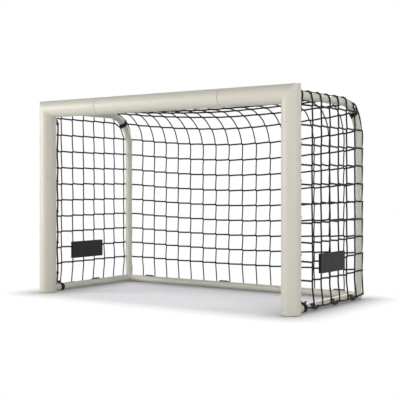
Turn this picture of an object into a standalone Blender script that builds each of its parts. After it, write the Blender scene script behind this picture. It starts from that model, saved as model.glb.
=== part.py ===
"""A small garden football goal with a goal mouth of 1.20 by 0.80 m.

The front frame is a thick round tube in five sections: two mitred corners, the middle of the crossbar and two
posts, held together by inner sleeves. The rear frame is a thin round tube: two bent arms, two welded three-way
corners and four ground bars. Every tube joint locks with a spring button. A black net lies over the frame.

Units are metres, with +Z up. The origin is on the ground under the middle of the goal's bounding box, +X runs
along the crossbar and +Y into the goal's depth. A depth in this script is counted from the front frame's axis
plane, backwards.
"""

import math

import bmesh
import bpy
import numpy as np
from mathutils import Matrix, Vector

# Driving dimensions of the frame
MOUTH_WIDTH = 1.200
MOUTH_HEIGHT = 0.800
FRONT_R = 0.038
FRONT_WALL = 0.002
REAR_R = 0.016
REAR_WALL = 0.0012
REAR_AXIS_DEPTH = 0.578
REAR_REACH = 0.0285
ARM_BEND_R = 0.145
ARM_BEND_STEPS = 6
GAP = 0.0003
SEAM = 0.0003

# Where the tubes are divided
CROSSBAR_SEAM_X = 0.325
POST_SEAM_Z = 0.595
UPRIGHT_SEAM_Z = 0.592
SIDE_SEAM_DEPTH = 0.492
REAR_SEAM_X = 0.517
MIDDLE_SEAM_X = -0.0755
GROUND_BAR_Z = 0.0175
TUBE_END_Z = 0.0015
SLEEVE_HALF = 0.060
SLEEVE_WALL = 0.0015
NECK_LENGTH = 0.080
NECK_TAPER = 0.0010
SIDE_SPIGOT_LENGTH = 0.105
SPIGOT_ROOT_DEPTH = 0.0346

# Spring buttons
BUTTON_R = 0.004
BUTTON_STAND = 0.0025
BUTTON_HOLE_R = 0.0049
LEAF_LENGTH = 0.032
LEAF_TIP = 0.0055
LEAF_WIDTH = 0.008
LEAF_THICK = 0.0008
FOLD_R = 0.003
UPRIGHT_BUTTON_TURN = 16.0

# Net, edge rope, clips, straps and patches
CORD = 0.004
MESH_PITCH = 0.0755
PITCHES_PER_GAP = 4 / 3
BACK_GAPS = 13
TOP_ROW_Z = 0.8015
BOTTOM_CORD_Z = 0.0256
BOTTOM_CORD_OFFSET = 0.0225
CORD_LIFT = 0.0045
PANEL_GAP = 0.0009
NET_EDGE_SHIFT = 0.0055
NET_SAG = 0.062
SAG_POWER = 1.75
FIRST_SIDE_DEPTH = 0.110
ROPE_R = 0.0035
ROPE_DEPTH = 0.076
ROPE_BAR_DEPTH = 0.052
ROPE_BAR_Z = 0.852
CLIP_DEPTHS = (0.158, 0.327, 0.494)
CLIP_XS = (-0.505, -0.054, 0.547)
STRAP_THICK = 0.001
ARM_STRAP_FACET = 2
ARM_STRAP_WIDTH = 0.022
BAR_STRAP_DEPTH = 0.078
BAR_STRAP_WIDTH = 0.030
PATCH_SIZE = (0.212, 0.078)
PATCH_THICK = 0.0015
PATCH_DEPTH = 0.2925
PATCH_Z = 0.186

# Worked out from the sizes above
POST_X = MOUTH_WIDTH / 2 + FRONT_R
BAR_Z = MOUTH_HEIGHT + FRONT_R
FRONT_Y = (FRONT_R - REAR_AXIS_DEPTH - REAR_REACH) / 2
REAR_Y = FRONT_Y + REAR_AXIS_DEPTH
FRONT_BORE = FRONT_R - FRONT_WALL
REAR_BORE = REAR_R - REAR_WALL
SLEEVE_R = FRONT_BORE - GAP
SLEEVE_BORE = SLEEVE_R - SLEEVE_WALL
NECK_R = REAR_BORE - GAP
NECK_BORE = NECK_R - REAR_WALL
BEND_DEPTH = REAR_AXIS_DEPTH - ARM_BEND_R
BEND_Z = BAR_Z - ARM_BEND_R
FRONT_SIDES = 24
REAR_SIDES = 16

X = Vector((1, 0, 0))
Y = Vector((0, 1, 0))
Z = Vector((0, 0, 1))

FINISHES = {
    "coated_steel": ((0.615, 0.597, 0.508), 0.42, 0.0),
    "zinc_steel": ((0.60, 0.60, 0.58), 0.35, 1.0),
    "black_plastic": ((0.020, 0.020, 0.022), 0.45, 0.0),
    "black_cord": ((0.012, 0.012, 0.014), 0.85, 0.0),
    "black_webbing": ((0.016, 0.016, 0.018), 0.80, 0.0),
    "patch_fabric": ((0.025, 0.025, 0.028), 0.75, 0.0),
}


def clear_scene():
    """Removes whatever objects the scene holds."""
    for obj in list(bpy.data.objects):
        bpy.data.objects.remove(obj)


def at(x, depth, z):
    """The point at this X, depth behind the front frame's axis plane, and height."""
    return Vector((x, FRONT_Y + depth, z))


def dress(obj, finish):
    """Gives the object a material of its own."""
    colour, roughness, metallic = FINISHES[finish]
    material = bpy.data.materials.new(f"{obj.name}_{finish}")
    material.use_nodes = True
    shader = material.node_tree.nodes["Principled BSDF"]
    shader.inputs["Base Color"].default_value = (*colour, 1.0)
    shader.inputs["Roughness"].default_value = roughness
    shader.inputs["Metallic"].default_value = metallic
    material.diffuse_color = (*colour, 1.0)
    obj.data.materials.clear()
    obj.data.materials.append(material)


def make_helper(obj):
    """Marks an object that only cuts or joins others."""
    obj.hide_render = True
    obj.display_type = "WIRE"


def add_object(name, vertices, faces, finish=None, sharp=40.0):
    """A mesh object with its faces turned outwards; with no finish it is a helper."""
    mesh = bpy.data.meshes.new(name)
    mesh.from_pydata([tuple(v) for v in vertices], [], faces)
    solid = bmesh.new()
    solid.from_mesh(mesh)
    bmesh.ops.recalc_face_normals(solid, faces=solid.faces)
    solid.to_mesh(mesh)
    solid.free()
    mesh.shade_smooth()
    mesh.set_sharp_from_angle(angle=math.radians(sharp))
    obj = bpy.data.objects.new(name, mesh)
    bpy.context.scene.collection.objects.link(obj)
    if finish is None:
        make_helper(obj)
    else:
        dress(obj, finish)
    return obj


def boolean(obj, other, operation):
    """Joins the other object to this one, or cuts it away."""
    modifier = obj.modifiers.new(f"{operation.lower()}_{other.name}", "BOOLEAN")
    modifier.operation = operation
    modifier.solver = "EXACT"
    modifier.object = other


def join(obj, other):
    """Adds the other object's solid to this one."""
    boolean(obj, other, "UNION")


def cut(obj, other):
    """Takes the other object's solid out of this one."""
    boolean(obj, other, "DIFFERENCE")


def ring_indices(start, count):
    """The vertex numbers of a ring that starts at this vertex."""
    return [start + k for k in range(count)]


def bridge(one, two):
    """The quads between two rings of equal length."""
    count = len(one)
    return [(one[k], one[(k + 1) % count], two[(k + 1) % count], two[k]) for k in range(count)]


def tube(name, stations, side, sides, finish=None, turned=False):
    """A round tube carried along a flat path.

    Each station is (point, outer radius, bore radius), and bores of None make a solid bar. The side direction
    is square to the path's plane. At a bend the ring lies on the mitre plane, so a sharp corner is a true
    mitre. A turned tube has a flat where the others have an edge.
    """
    points = [station[0] for station in stations]
    last = len(points) - 1
    offset = math.pi / sides if turned else 0.0
    angles = [offset + 2 * math.pi * k / sides for k in range(sides)]
    hollow = stations[0][2] is not None
    vertices = []
    rings = []
    for i, (point, outer, bore) in enumerate(stations):
        after = (points[min(i + 1, last)] - points[min(i, last - 1)]).normalized()
        before = (points[max(i, 1)] - points[max(i - 1, 0)]).normalized()
        along = (before + after).normalized()
        across = side.cross(along) / along.dot(after)
        pair = []
        for radius in (outer, bore) if hollow else (outer,):
            pair.append(ring_indices(len(vertices), sides))
            vertices += [point + side * (radius * math.cos(a)) + across * (radius * math.sin(a)) for a in angles]
        rings.append(pair)
    faces = []
    for one, two in zip(rings, rings[1:]):
        for first, second in zip(one, two):
            faces += bridge(first, second)
    if hollow:
        faces += bridge(*rings[0]) + bridge(*rings[-1])
    else:
        faces += [tuple(rings[0][0]), tuple(rings[-1][0])]
    return add_object(name, vertices, faces, finish)


def prism(name, outline, start, length, first, second, along, finish=None):
    """A flat outline of (first, second) pairs, pushed along a direction from the start point."""
    base = [start + first * u + second * v for u, v in outline]
    vertices = base + [point + along * length for point in base]
    count = len(outline)
    one, two = ring_indices(0, count), ring_indices(count, count)
    return add_object(name, vertices, [tuple(one), tuple(two)] + bridge(one, two), finish)


def strip_outline(centreline, thickness):
    """The outline of a strip of even thickness that follows a line of (u, v) points."""
    left, right = [], []
    last = len(centreline) - 1
    for i, (u, v) in enumerate(centreline):
        u0, v0 = centreline[max(i - 1, 0)]
        u1, v1 = centreline[min(i + 1, last)]
        length = math.hypot(u1 - u0, v1 - v0)
        nu, nv = -(v1 - v0) / length * thickness / 2, (u1 - u0) / length * thickness / 2
        left.append((u + nu, v + nv))
        right.append((u - nu, v - nv))
    return left + right[::-1]


def arc_points(centre_u, centre_v, radius, start_deg, end_deg, steps):
    """Points on an arc, as (u, v) pairs."""
    angles = [math.radians(start_deg + (end_deg - start_deg) * k / steps) for k in range(steps + 1)]
    return [(centre_u + radius * math.cos(a), centre_v + radius * math.sin(a)) for a in angles]


def evaluated_mesh(obj):
    """A copy of the object's mesh with its modifiers carried out."""
    graph = bpy.context.evaluated_depsgraph_get()
    return bpy.data.meshes.new_from_object(obj.evaluated_get(graph))


class SpringButton:
    """One spring button: a round head on a leaf that hinges at its far end, and the holes it stands in.

    centre is the point on the tube's axis under the head, along points from the head to the leaf's hinge, and
    out is the way the head looks. A button in thin tube has the folded end and the second leg of its spring
    against the far wall; in thick tube the leaf is riveted to the wall.
    """

    heads = {}

    def __init__(self, name, centre, along, out, thick=False):
        self.name = name
        self.centre = centre
        self.along = along
        self.out = out
        self.thick = thick
        self.bore = SLEEVE_BORE if thick else NECK_BORE
        self.tube_r = FRONT_R if thick else REAR_R
        self.leaf_top = math.sqrt(self.bore**2 - (LEAF_WIDTH / 2) ** 2) - GAP
        self.leaf_mid = self.leaf_top - LEAF_THICK / 2
        self.across = out.cross(along)

    def pivot(self):
        """The point that the leaf turns about."""
        return self.centre + self.along * LEAF_LENGTH + self.out * self.leaf_mid

    def head_mesh(self):
        """The leaf and the head as one mesh, with its origin on the hinge line."""
        if self.thick in SpringButton.heads:
            return SpringButton.heads[self.thick]
        half = LEAF_THICK / 2
        outline = [(-LEAF_LENGTH - LEAF_TIP, -half), (-GAP, -half), (-GAP, half), (-LEAF_LENGTH - LEAF_TIP, half)]
        start = Y * (-LEAF_WIDTH / 2)
        leaf = prism(f"leaf_form_{self.thick}", outline, start, LEAF_WIDTH, X, Z, Y)
        top = self.tube_r + BUTTON_STAND - self.leaf_mid
        foot = Vector((-LEAF_LENGTH, 0, 0))
        rise = (0.0, top - 0.0012, top)
        width = (BUTTON_R, BUTTON_R, BUTTON_R * 0.62)
        stations = [(foot + Z * h, r, None) for h, r in zip(rise, width)]
        head = tube(f"head_form_{self.thick}", stations, X, 8)
        join(leaf, head)
        mesh = evaluated_mesh(leaf)
        for form in (leaf, head):
            bpy.data.objects.remove(form)
        SpringButton.heads[self.thick] = mesh
        return mesh

    def build(self):
        """The moving piece, placed with its origin on its hinge."""
        obj = bpy.data.objects.new(self.name, self.head_mesh().copy())
        bpy.context.scene.collection.objects.link(obj)
        turn = Matrix((self.along, self.across, self.out)).transposed().to_4x4()
        obj.matrix_world = Matrix.Translation(self.pivot()) @ turn
        dress(obj, "zinc_steel")
        return obj

    def seat_outline(self):
        """The fixed part of the spring, in (along, out) from the axis point under the head."""
        start = LEAF_LENGTH + GAP
        if self.thick:
            wall = self.bore - GAP / 2
            return strip_outline([(start, self.leaf_mid), (start + 0.006, wall), (start + 0.014, wall)], LEAF_THICK)
        fold = arc_points(start, self.leaf_mid - FOLD_R, FOLD_R, 90, -60, 4)
        foot = (0.002, -self.bore + 0.0001)
        return strip_outline(fold + [foot], LEAF_THICK)

    def fit(self, carrier, cover):
        """Adds the fixed part of the spring to the carrier and opens the hole in both tubes."""
        start = self.centre - self.across * (LEAF_WIDTH / 2)
        seat = prism(f"seat_{self.name}", self.seat_outline(), start, LEAF_WIDTH, self.along, self.out, self.across)
        join(carrier, seat)
        low, high = self.leaf_top - 0.002, self.tube_r + 0.004
        ends = [(self.centre + self.out * r, BUTTON_HOLE_R, None) for r in (low, high)]
        hole = tube(f"hole_{self.name}", ends, self.along, 8)
        cut(carrier, hole)
        cut(cover, hole)


def front_path(left, radius, bore):
    """The stations of one mitred corner: up the post, round the mitre and along the crossbar."""
    side = -1 if left else 1
    low = at(side * POST_X, 0, POST_SEAM_Z + SEAM / 2)
    turn = at(side * POST_X, 0, BAR_Z)
    end = at(side * (CROSSBAR_SEAM_X + SEAM / 2), 0, BAR_Z)
    return [(point, radius, bore) for point in (low, turn, end)]


def make_front_frame():
    """The two corners, the crossbar's middle, the two posts and their sleeves; returned by name."""
    parts = {}
    for side, word in ((-1, "left"), (1, "right")):
        path = front_path(side < 0, FRONT_R, FRONT_BORE)
        corner = tube(f"corner_{word}", path, Y, FRONT_SIDES, "coated_steel")
        post_ends = [at(side * POST_X, 0, z) for z in (TUBE_END_Z, POST_SEAM_Z - SEAM / 2)]
        stations = [(end, FRONT_R, FRONT_BORE) for end in post_ends]
        post = tube(f"post_{word}", stations, Y, FRONT_SIDES, "coated_steel")
        for body, z, tip, turned in (
            (corner, BAR_Z, FRONT_R + NECK_LENGTH, True),
            (post, GROUND_BAR_Z, FRONT_R + SIDE_SPIGOT_LENGTH, False),
        ):
            ends = [(at(side * POST_X, d, z), NECK_R, NECK_BORE) for d in (SPIGOT_ROOT_DEPTH, tip)]
            join(body, tube(f"spigot_{body.name}", ends, X, REAR_SIDES, turned=turned))
        parts[corner.name] = corner
        parts[post.name] = post
        middle = at(side * POST_X, 0, POST_SEAM_Z)
        ends = [(middle + Z * s, SLEEVE_R, SLEEVE_BORE) for s in (-SLEEVE_HALF, SLEEVE_HALF)]
        name = f"post_sleeve_{word}"
        parts[name] = tube(name, ends, Y, FRONT_SIDES, "zinc_steel")
        middle = at(side * CROSSBAR_SEAM_X, 0, BAR_Z)
        ends = [(middle + X * s, SLEEVE_R, SLEEVE_BORE) for s in (-SLEEVE_HALF, SLEEVE_HALF)]
        name = f"crossbar_sleeve_{word}"
        parts[name] = tube(name, ends, Y, FRONT_SIDES, "zinc_steel")
    reach = CROSSBAR_SEAM_X - SEAM / 2
    ends = [(at(x, 0, BAR_Z), FRONT_R, FRONT_BORE) for x in (-reach, reach)]
    parts["crossbar_middle"] = tube("crossbar_middle", ends, Y, FRONT_SIDES, "coated_steel")
    return parts


def necked(start, along, seam_distance, outer, bore, neck=NECK_LENGTH):
    """Stations of a tube from start to a neck that plugs into the next tube at the seam."""
    shoulder = start + along * (seam_distance - NECK_TAPER)
    seam = start + along * seam_distance
    tip = start + along * (seam_distance + neck)
    if bore is None:
        return [(start, outer, None), (shoulder, outer, None), (seam, NECK_R, None), (tip, NECK_R, None)]
    return [(start, outer, bore), (shoulder, outer, bore), (seam, NECK_R, NECK_BORE), (tip, NECK_R, NECK_BORE)]


def bore_bar(start, along, seam_distance):
    """Stations of the solid that cuts a necked tube's bore, running out past both ends."""
    shoulder = start + along * (seam_distance - NECK_TAPER)
    seam = start + along * seam_distance
    tip = start + along * (seam_distance + 2 * NECK_LENGTH)
    return [(start, REAR_BORE, None), (shoulder, REAR_BORE, None), (seam, NECK_BORE, None), (tip, NECK_BORE, None)]


def make_rear_corner(side, word):
    """A welded corner: the lower upright with a stub forwards and a stub along the rear bar."""
    axis = at(side * POST_X, REAR_AXIS_DEPTH, 0)
    foot = axis + Z * TUBE_END_Z
    hub = axis + Z * GROUND_BAR_Z
    upright_seam = UPRIGHT_SEAM_Z - TUBE_END_Z
    limbs = (
        ("side_stub", hub, -Y, X, REAR_AXIS_DEPTH - SIDE_SEAM_DEPTH),
        ("rear_stub", hub, -X * side, Y, POST_X - REAR_SEAM_X),
    )
    name = f"rear_corner_{word}"
    stations = necked(foot, Z, upright_seam, REAR_R, None)
    corner = tube(name, stations, X, REAR_SIDES, "coated_steel", turned=True)
    bores = [tube(f"{name}_upright_bore", bore_bar(foot - Z * 0.01, Z, upright_seam + 0.01), X, REAR_SIDES, turned=True)]
    for limb, start, along, flat, seam in limbs:
        join(corner, tube(f"{name}_{limb}", necked(start, along, seam, REAR_R, None), flat, REAR_SIDES))
        bores.append(tube(f"{name}_{limb}_bore", bore_bar(start, along, seam), flat, REAR_SIDES))
    for bore in bores:
        cut(corner, bore)
    return corner


def make_arm(side, word):
    """The bent upper tube, from the front corner back and down to the upright's seam."""
    x = side * POST_X
    bend = arc_points(BEND_DEPTH, BEND_Z, ARM_BEND_R, 90, 0, ARM_BEND_STEPS)
    route = [at(x, 0.020, BAR_Z)] + [at(x, d, z) for d, z in bend] + [at(x, REAR_AXIS_DEPTH, UPRIGHT_SEAM_Z + SEAM)]
    stations = [(point, REAR_R, REAR_BORE) for point in route]
    arm = tube(f"arm_{word}", stations, X, REAR_SIDES, "coated_steel", turned=True)
    cope = tube(f"arm_cope_{word}", front_path(side < 0, FRONT_R + GAP, None), Y, FRONT_SIDES)
    cut(arm, cope)
    return arm


def make_side_bar(side, word):
    """A straight ground bar, coped to the post at its front end."""
    x = side * POST_X
    ends = [(at(x, d, GROUND_BAR_Z), REAR_R, REAR_BORE) for d in (0.020, SIDE_SEAM_DEPTH - SEAM)]
    bar = tube(f"side_bar_{word}", ends, X, REAR_SIDES, "coated_steel")
    cope_ends = [(at(x, 0, z), FRONT_R + GAP, None) for z in (-0.05, 0.10)]
    cut(bar, tube(f"side_bar_cope_{word}", cope_ends, Y, FRONT_SIDES))
    return bar


def make_rear_frame():
    """Arms, three-way corners and ground bars; returned by name."""
    parts = {}
    for side, word in ((-1, "left"), (1, "right")):
        for obj in (make_arm(side, word), make_rear_corner(side, word), make_side_bar(side, word)):
            parts[obj.name] = obj
    start, end = at(-REAR_SEAM_X + SEAM, REAR_AXIS_DEPTH, GROUND_BAR_Z), at(MIDDLE_SEAM_X - SEAM, REAR_AXIS_DEPTH, GROUND_BAR_Z)
    ends = [(point, REAR_R, REAR_BORE) for point in (start, end)]
    parts["rear_bar_left"] = tube("rear_bar_left", ends, Y, REAR_SIDES, "coated_steel")
    start = at(REAR_SEAM_X - SEAM, REAR_AXIS_DEPTH, GROUND_BAR_Z)
    stations = necked(start, -X, REAR_SEAM_X - SEAM - MIDDLE_SEAM_X, REAR_R, REAR_BORE)
    parts["rear_bar_right"] = tube("rear_bar_right", stations, Y, REAR_SIDES, "coated_steel")
    return parts


def spring_buttons():
    """Every spring button with the names of the tube that carries it and the tube that it locks."""
    found = []
    turn = math.radians(UPRIGHT_BUTTON_TURN)
    forward = X * math.sin(turn) - Y * math.cos(turn)
    for side, word in ((-1, "left"), (1, "right")):
        x = side * POST_X
        found += [
            (
                SpringButton(f"crossbar_button_{word}", at(side * 0.290, 0, BAR_Z), X * side, Y, True),
                f"crossbar_sleeve_{word}",
                "crossbar_middle",
            ),
            (
                SpringButton(f"post_button_{word}", at(x, 0, POST_SEAM_Z + 0.035), -Z, Y, True),
                f"post_sleeve_{word}",
                f"corner_{word}",
            ),
            (
                SpringButton(f"arm_button_{word}", at(x, FRONT_R + 0.055, BAR_Z), -Y, -X),
                f"corner_{word}",
                f"arm_{word}",
            ),
            (
                SpringButton(f"upright_button_{word}", at(x, REAR_AXIS_DEPTH, UPRIGHT_SEAM_Z + 0.030), -Z, forward),
                f"rear_corner_{word}",
                f"arm_{word}",
            ),
            (
                SpringButton(f"side_front_button_{word}", at(x, FRONT_R + 0.080, GROUND_BAR_Z), -Y, -X),
                f"post_{word}",
                f"side_bar_{word}",
            ),
            (
                SpringButton(f"side_rear_button_{word}", at(x, SIDE_SEAM_DEPTH - 0.055, GROUND_BAR_Z), Y, -X),
                f"rear_corner_{word}",
                f"side_bar_{word}",
            ),
            (
                SpringButton(
                    f"rear_bar_button_{word}",
                    at(side * (REAR_SEAM_X - 0.055), REAR_AXIS_DEPTH, GROUND_BAR_Z),
                    X * side,
                    Y,
                ),
                f"rear_corner_{word}",
                f"rear_bar_{word}",
            ),
        ]
    middle = at(MIDDLE_SEAM_X - 0.055, REAR_AXIS_DEPTH, GROUND_BAR_Z)
    found.append((SpringButton("rear_bar_button_middle", middle, X, Y), "rear_bar_right", "rear_bar_left"))
    return found


def make_cap(name, axis, flange_r, lip_r, lip_wall, height, slot=None):
    """A plastic end cap: a flat foot with a ring of lips that grips inside the tube."""
    flange = TUBE_END_Z - GAP
    overlap = 0.0004
    stations = [(axis + Z * z, flange_r, None) for z in (0.0, flange)]
    cap = tube(name, stations, Y, 24 if slot else REAR_SIDES, "black_plastic")
    lips = tube(
        f"{name}_lips",
        [(axis + Z * z, lip_r, lip_r - lip_wall) for z in (flange - overlap, height)],
        Y,
        24 if slot else REAR_SIDES,
    )
    if slot:
        corners = [(-slot, -2 * lip_r), (slot, -2 * lip_r), (slot, 2 * lip_r), (-slot, 2 * lip_r)]
        cutter = prism(f"{name}_slot", corners, axis + Z * (flange - 2 * overlap), 2 * height, X, Y, Z)
        cut(lips, cutter)
    join(cap, lips)
    return cap


def make_caps():
    """The feet: one cap under each post and each rear upright."""
    for side, word in ((-1, "left"), (1, "right")):
        make_cap(f"foot_cap_{word}", at(side * POST_X, 0, 0), FRONT_R, FRONT_BORE - GAP, 0.002, 0.014, 0.018)
        rear = at(side * POST_X, REAR_AXIS_DEPTH, 0)
        make_cap(f"rear_foot_cap_{word}", rear, REAR_R, REAR_BORE - GAP, 0.0018, 0.011)


def cord_lattice(name, points, row_cords, column_cords):
    """A net of square cords through a grid of points, as one closed surface.

    points is an array of (rows, columns, 3). A row or column with a False flag has no cord of its own: its
    points only bend the cords that cross it. At a knot the two cords share a small block.
    """
    half = CORD / 2
    rows, columns = points.shape[:2]
    along = np.gradient(points, axis=1)
    down = np.gradient(points, axis=0)
    normal = np.cross(along, down)
    along /= np.linalg.norm(along, axis=2, keepdims=True)
    normal /= np.linalg.norm(normal, axis=2, keepdims=True)
    down = np.cross(normal, along)
    vertices = []
    faces = []
    row_rings = {}
    column_rings = {}

    def corner(i, j, a, b, n):
        vertices.append(points[i, j] + half * (a * along[i, j] + b * down[i, j] + n * normal[i, j]))
        return len(vertices) - 1

    around = ((1, 1), (-1, 1), (-1, -1), (1, -1))
    for i in range(rows):
        for j in range(columns):
            if row_cords[i] and column_cords[j]:
                block = {(a, b, n): corner(i, j, a, b, n) for a in (-1, 1) for b in (-1, 1) for n in (-1, 1)}
                row_rings[i, j] = [[block[a, b, n] for b, n in around] for a in (-1, 1)]
                column_rings[i, j] = [[block[a, b, n] for a, n in around] for b in (-1, 1)]
                for n in (-1, 1):
                    faces.append((block[-1, -1, n], block[1, -1, n], block[1, 1, n], block[-1, 1, n]))
            elif row_cords[i]:
                ring = [corner(i, j, 0, b, n) for b, n in around]
                row_rings[i, j] = [ring, ring]
            elif column_cords[j]:
                ring = [corner(i, j, a, 0, n) for a, n in around]
                column_rings[i, j] = [ring, ring]
    for rings, step in ((row_rings, (0, 1)), (column_rings, (1, 0))):
        for (i, j), (low, high) in rings.items():
            following = rings.get((i + step[0], j + step[1]))
            faces += bridge(high, following[0]) if following else [tuple(high)]
            if (i - step[0], j - step[1]) not in rings:
                faces.append(tuple(low))
    return add_object(name, vertices, faces, "black_cord", sharp=60.0)


def net_row_heights():
    """The heights of the net's level rows, from the top one down to the last above the ground."""
    pitch = MESH_PITCH * PITCHES_PER_GAP
    return [TOP_ROW_Z - pitch * k for k in range(8)]


def side_depths():
    """The depths of the side nets' cords, which cross the arm and become the top net's rows."""
    pitch = MESH_PITCH * PITCHES_PER_GAP
    return [FIRST_SIDE_DEPTH + pitch * k for k in range(5)]


def arm_back(z):
    """The depth of the arm's or upright's rear surface at a height."""
    if z <= BEND_Z:
        return REAR_AXIS_DEPTH + REAR_R
    return BEND_DEPTH + math.sqrt((ARM_BEND_R + REAR_R) ** 2 - (z - BEND_Z) ** 2)


def arm_top(depth):
    """The height of the arm's upper surface at a depth."""
    if depth <= BEND_DEPTH:
        return BAR_Z + REAR_R
    return BEND_Z + math.sqrt((ARM_BEND_R + REAR_R) ** 2 - (depth - BEND_DEPTH) ** 2)


def sagged(x, depth, z):
    """The net between the arms: the profile over the arm, let down most in the middle of the goal."""
    slack = 1 - abs(x / (POST_X + NET_EDGE_SHIFT)) ** SAG_POWER
    slack *= min((z - BOTTOM_CORD_Z) / MESH_PITCH, 1)
    reach = (depth / (REAR_AXIS_DEPTH + REAR_R)) ** 1.3
    return at(x, depth - 0.005 * slack * reach, z - NET_SAG * z * slack * reach)


def back_net_profile():
    """The middle net's line over the arms, from the ground cord up and forward to the crossbar.

    Each entry is (depth, height, whether a cord runs across there, the panel's name if one starts there).
    """
    lift = ARM_BEND_R + REAR_R + CORD_LIFT
    back = BEND_DEPTH + lift
    profile = [(REAR_AXIS_DEPTH + BOTTOM_CORD_OFFSET, BOTTOM_CORD_Z, True, "net_back")]
    profile += [(back, z, True, None) for z in net_row_heights()[:1:-1]]
    second = net_row_heights()[1]
    top = math.degrees(math.asin((TOP_ROW_Z - BEND_Z) / lift))
    low = math.degrees(math.asin((second - BEND_Z) / lift))
    last = math.degrees(math.acos((side_depths()[-1] - BEND_DEPTH) / lift))
    for start, end, panel in ((low, top, "net_lower_bend"), (top, last, None), (last, 90.0, "net_upper_bend")):
        steps = math.ceil((end - start) / 15.0)
        for k in range(steps):
            turn = math.radians(start + (end - start) * k / steps)
            place = (BEND_DEPTH + lift * math.cos(turn), BEND_Z + lift * math.sin(turn))
            profile.append((*place, k == 0, None if k else panel))
    profile.append((BEND_DEPTH, BEND_Z + lift, False, None))
    for depth in side_depths()[-2::-1]:
        profile.append((depth, BEND_Z + lift, True, "net_top" if depth == side_depths()[-2] else None))
    profile.append((ROPE_BAR_DEPTH + ROPE_R + 2 * GAP, ROPE_BAR_Z + 0.001, False, None))
    return profile


def make_back_net():
    """The net's middle as four panels: the back, the two halves of the bend and the top.

    A panel starts at one of its cross cords, and the upright cords of the one before stop just short of it.
    """
    profile = back_net_profile()
    edge = POST_X + NET_EDGE_SHIFT
    columns = [-edge + 2 * edge * k / BACK_GAPS for k in range(BACK_GAPS + 1)]
    points = np.array([[sagged(x, depth, z) for x in columns] for depth, z, _, _ in profile])
    for column in (0, -1):
        points[-1, column] = at(columns[column], ROPE_DEPTH + ROPE_R + 2 * GAP, arm_top(0) + CORD_LIFT)
    starts = [k for k, entry in enumerate(profile) if entry[3]]
    for first, following in zip(starts, starts[1:] + [None]):
        panel = points[first:following]
        cords = [entry[2] for entry in profile[first:following]]
        if following:
            back = points[following - 1] - points[following]
            back *= (CORD / 2 + PANEL_GAP) / np.linalg.norm(back, axis=1, keepdims=True)
            panel = np.concatenate([panel, (points[following] + back)[None]])
            cords.append(False)
        cord_lattice(profile[first][3], panel, cords, [True] * len(columns))


def make_side_net(side, word):
    """A side net: it hangs outside the arm and upright, and its cords bend round both to the back net."""
    out = REAR_R + CORD_LIFT
    heights = net_row_heights()
    depths = side_depths()
    shape = ((out, -REAR_R), (out * 0.72, -0.0008), (REAR_R / 2 + 0.0002, CORD_LIFT - 0.0013))
    grid = []
    for lift, level in shape[::-1]:
        grid.append([(lift, depth, arm_top(depth) + level) for depth in (ROPE_DEPTH + ROPE_R + GAP, *depths)])
    grid = [row + [(row[-1][0], row[-1][1] + 0.01 * k, row[-1][2]) for k in (1, 2, 3)] for row in grid]
    for z in heights + [BOTTOM_CORD_Z]:
        flare = BOTTOM_CORD_OFFSET - out if z == BOTTOM_CORD_Z else 0.0
        front = REAR_R if z > 2 * BOTTOM_CORD_Z else out + flare
        row = [(front, ROPE_DEPTH + ROPE_R + GAP, z)] + [(out + flare, depth, z) for depth in depths]
        for offset, level in shape:
            row.append((offset + flare, arm_back(z) + level + flare, z))
        grid.append(row)
    points = np.array([[at(side * (POST_X + lift), depth, z) for lift, depth, z in row] for row in grid])
    rows = [False] * 3 + [True] * (len(heights) + 1)
    columns = [False] + [True] * len(depths) + [False] * 3
    return cord_lattice(f"net_{word}", points, rows, columns)


def rope_route():
    """The edge rope's points: up behind one post, over the arm, along the crossbar and down the other side."""
    lift = REAR_R + ROPE_R + 0.0015
    half = []
    for k in range(11):
        z = 0.042 + 0.0745 * k
        half.append((REAR_R - 0.002 + 0.0025 * math.cos(math.pi * k), ROPE_DEPTH, z))
    for u, v in arc_points(0, BAR_Z, lift, 0, 90, 4):
        half.append((u, ROPE_DEPTH, v))
    half.append((-0.030, 0.062, ROPE_BAR_Z + 0.004))
    left = [at(-(POST_X + u), depth, z) for u, depth, z in half]
    right = [at(POST_X + u, depth, z) for u, depth, z in half[::-1]]
    reach = 0.56
    middle = [at(-reach + 2 * reach * k / 10, ROPE_BAR_DEPTH, ROPE_BAR_Z) for k in range(11)]
    return left + middle + right


def make_edge_rope():
    """The thick rope that edges the net behind the posts and the crossbar."""
    curve = bpy.data.curves.new("edge_rope", "CURVE")
    curve.dimensions = "3D"
    curve.bevel_depth = ROPE_R
    curve.bevel_resolution = 1
    curve.use_fill_caps = True
    spline = curve.splines.new("POLY")
    route = rope_route()
    spline.points.add(len(route) - 1)
    for point, place in zip(spline.points, route):
        point.co = (*place, 1.0)
    obj = bpy.data.objects.new("edge_rope", curve)
    bpy.context.scene.collection.objects.link(obj)
    dress(obj, "black_cord")
    return obj


def clip_mesh():
    """A net clip, with its origin on the bar's axis: a saddle with two open hooks for the ground cord.

    Local X runs along the bar, local Y points out of the goal and local Z up.
    """
    saddle_length, hook_length, hook_place = 0.058, 0.020, 0.018
    inner, outer = REAR_R + GAP, REAR_R + 0.0027
    cord_up = BOTTOM_CORD_Z - GROUND_BAR_Z
    saddle = arc_points(0, 0, inner, -28, 72, 4) + arc_points(0, 0, outer, 72, -28, 4)
    hook = arc_points(BOTTOM_CORD_OFFSET, cord_up, 0.0036, 150, 390, 5)
    hook += arc_points(BOTTOM_CORD_OFFSET, cord_up, 0.0060, 390, 150, 5)
    form = prism("clip_form", saddle, -X * (saddle_length / 2), saddle_length, Y, Z, X)
    helpers = [form]
    for place in (-hook_place, hook_place):
        start = X * (place - hook_length / 2)
        helpers.append(prism(f"clip_hook_{len(helpers)}", hook, start, hook_length, Y, Z, X))
        join(form, helpers[-1])
    mesh = evaluated_mesh(form)
    for helper in helpers:
        bpy.data.objects.remove(helper)
    return mesh


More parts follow.
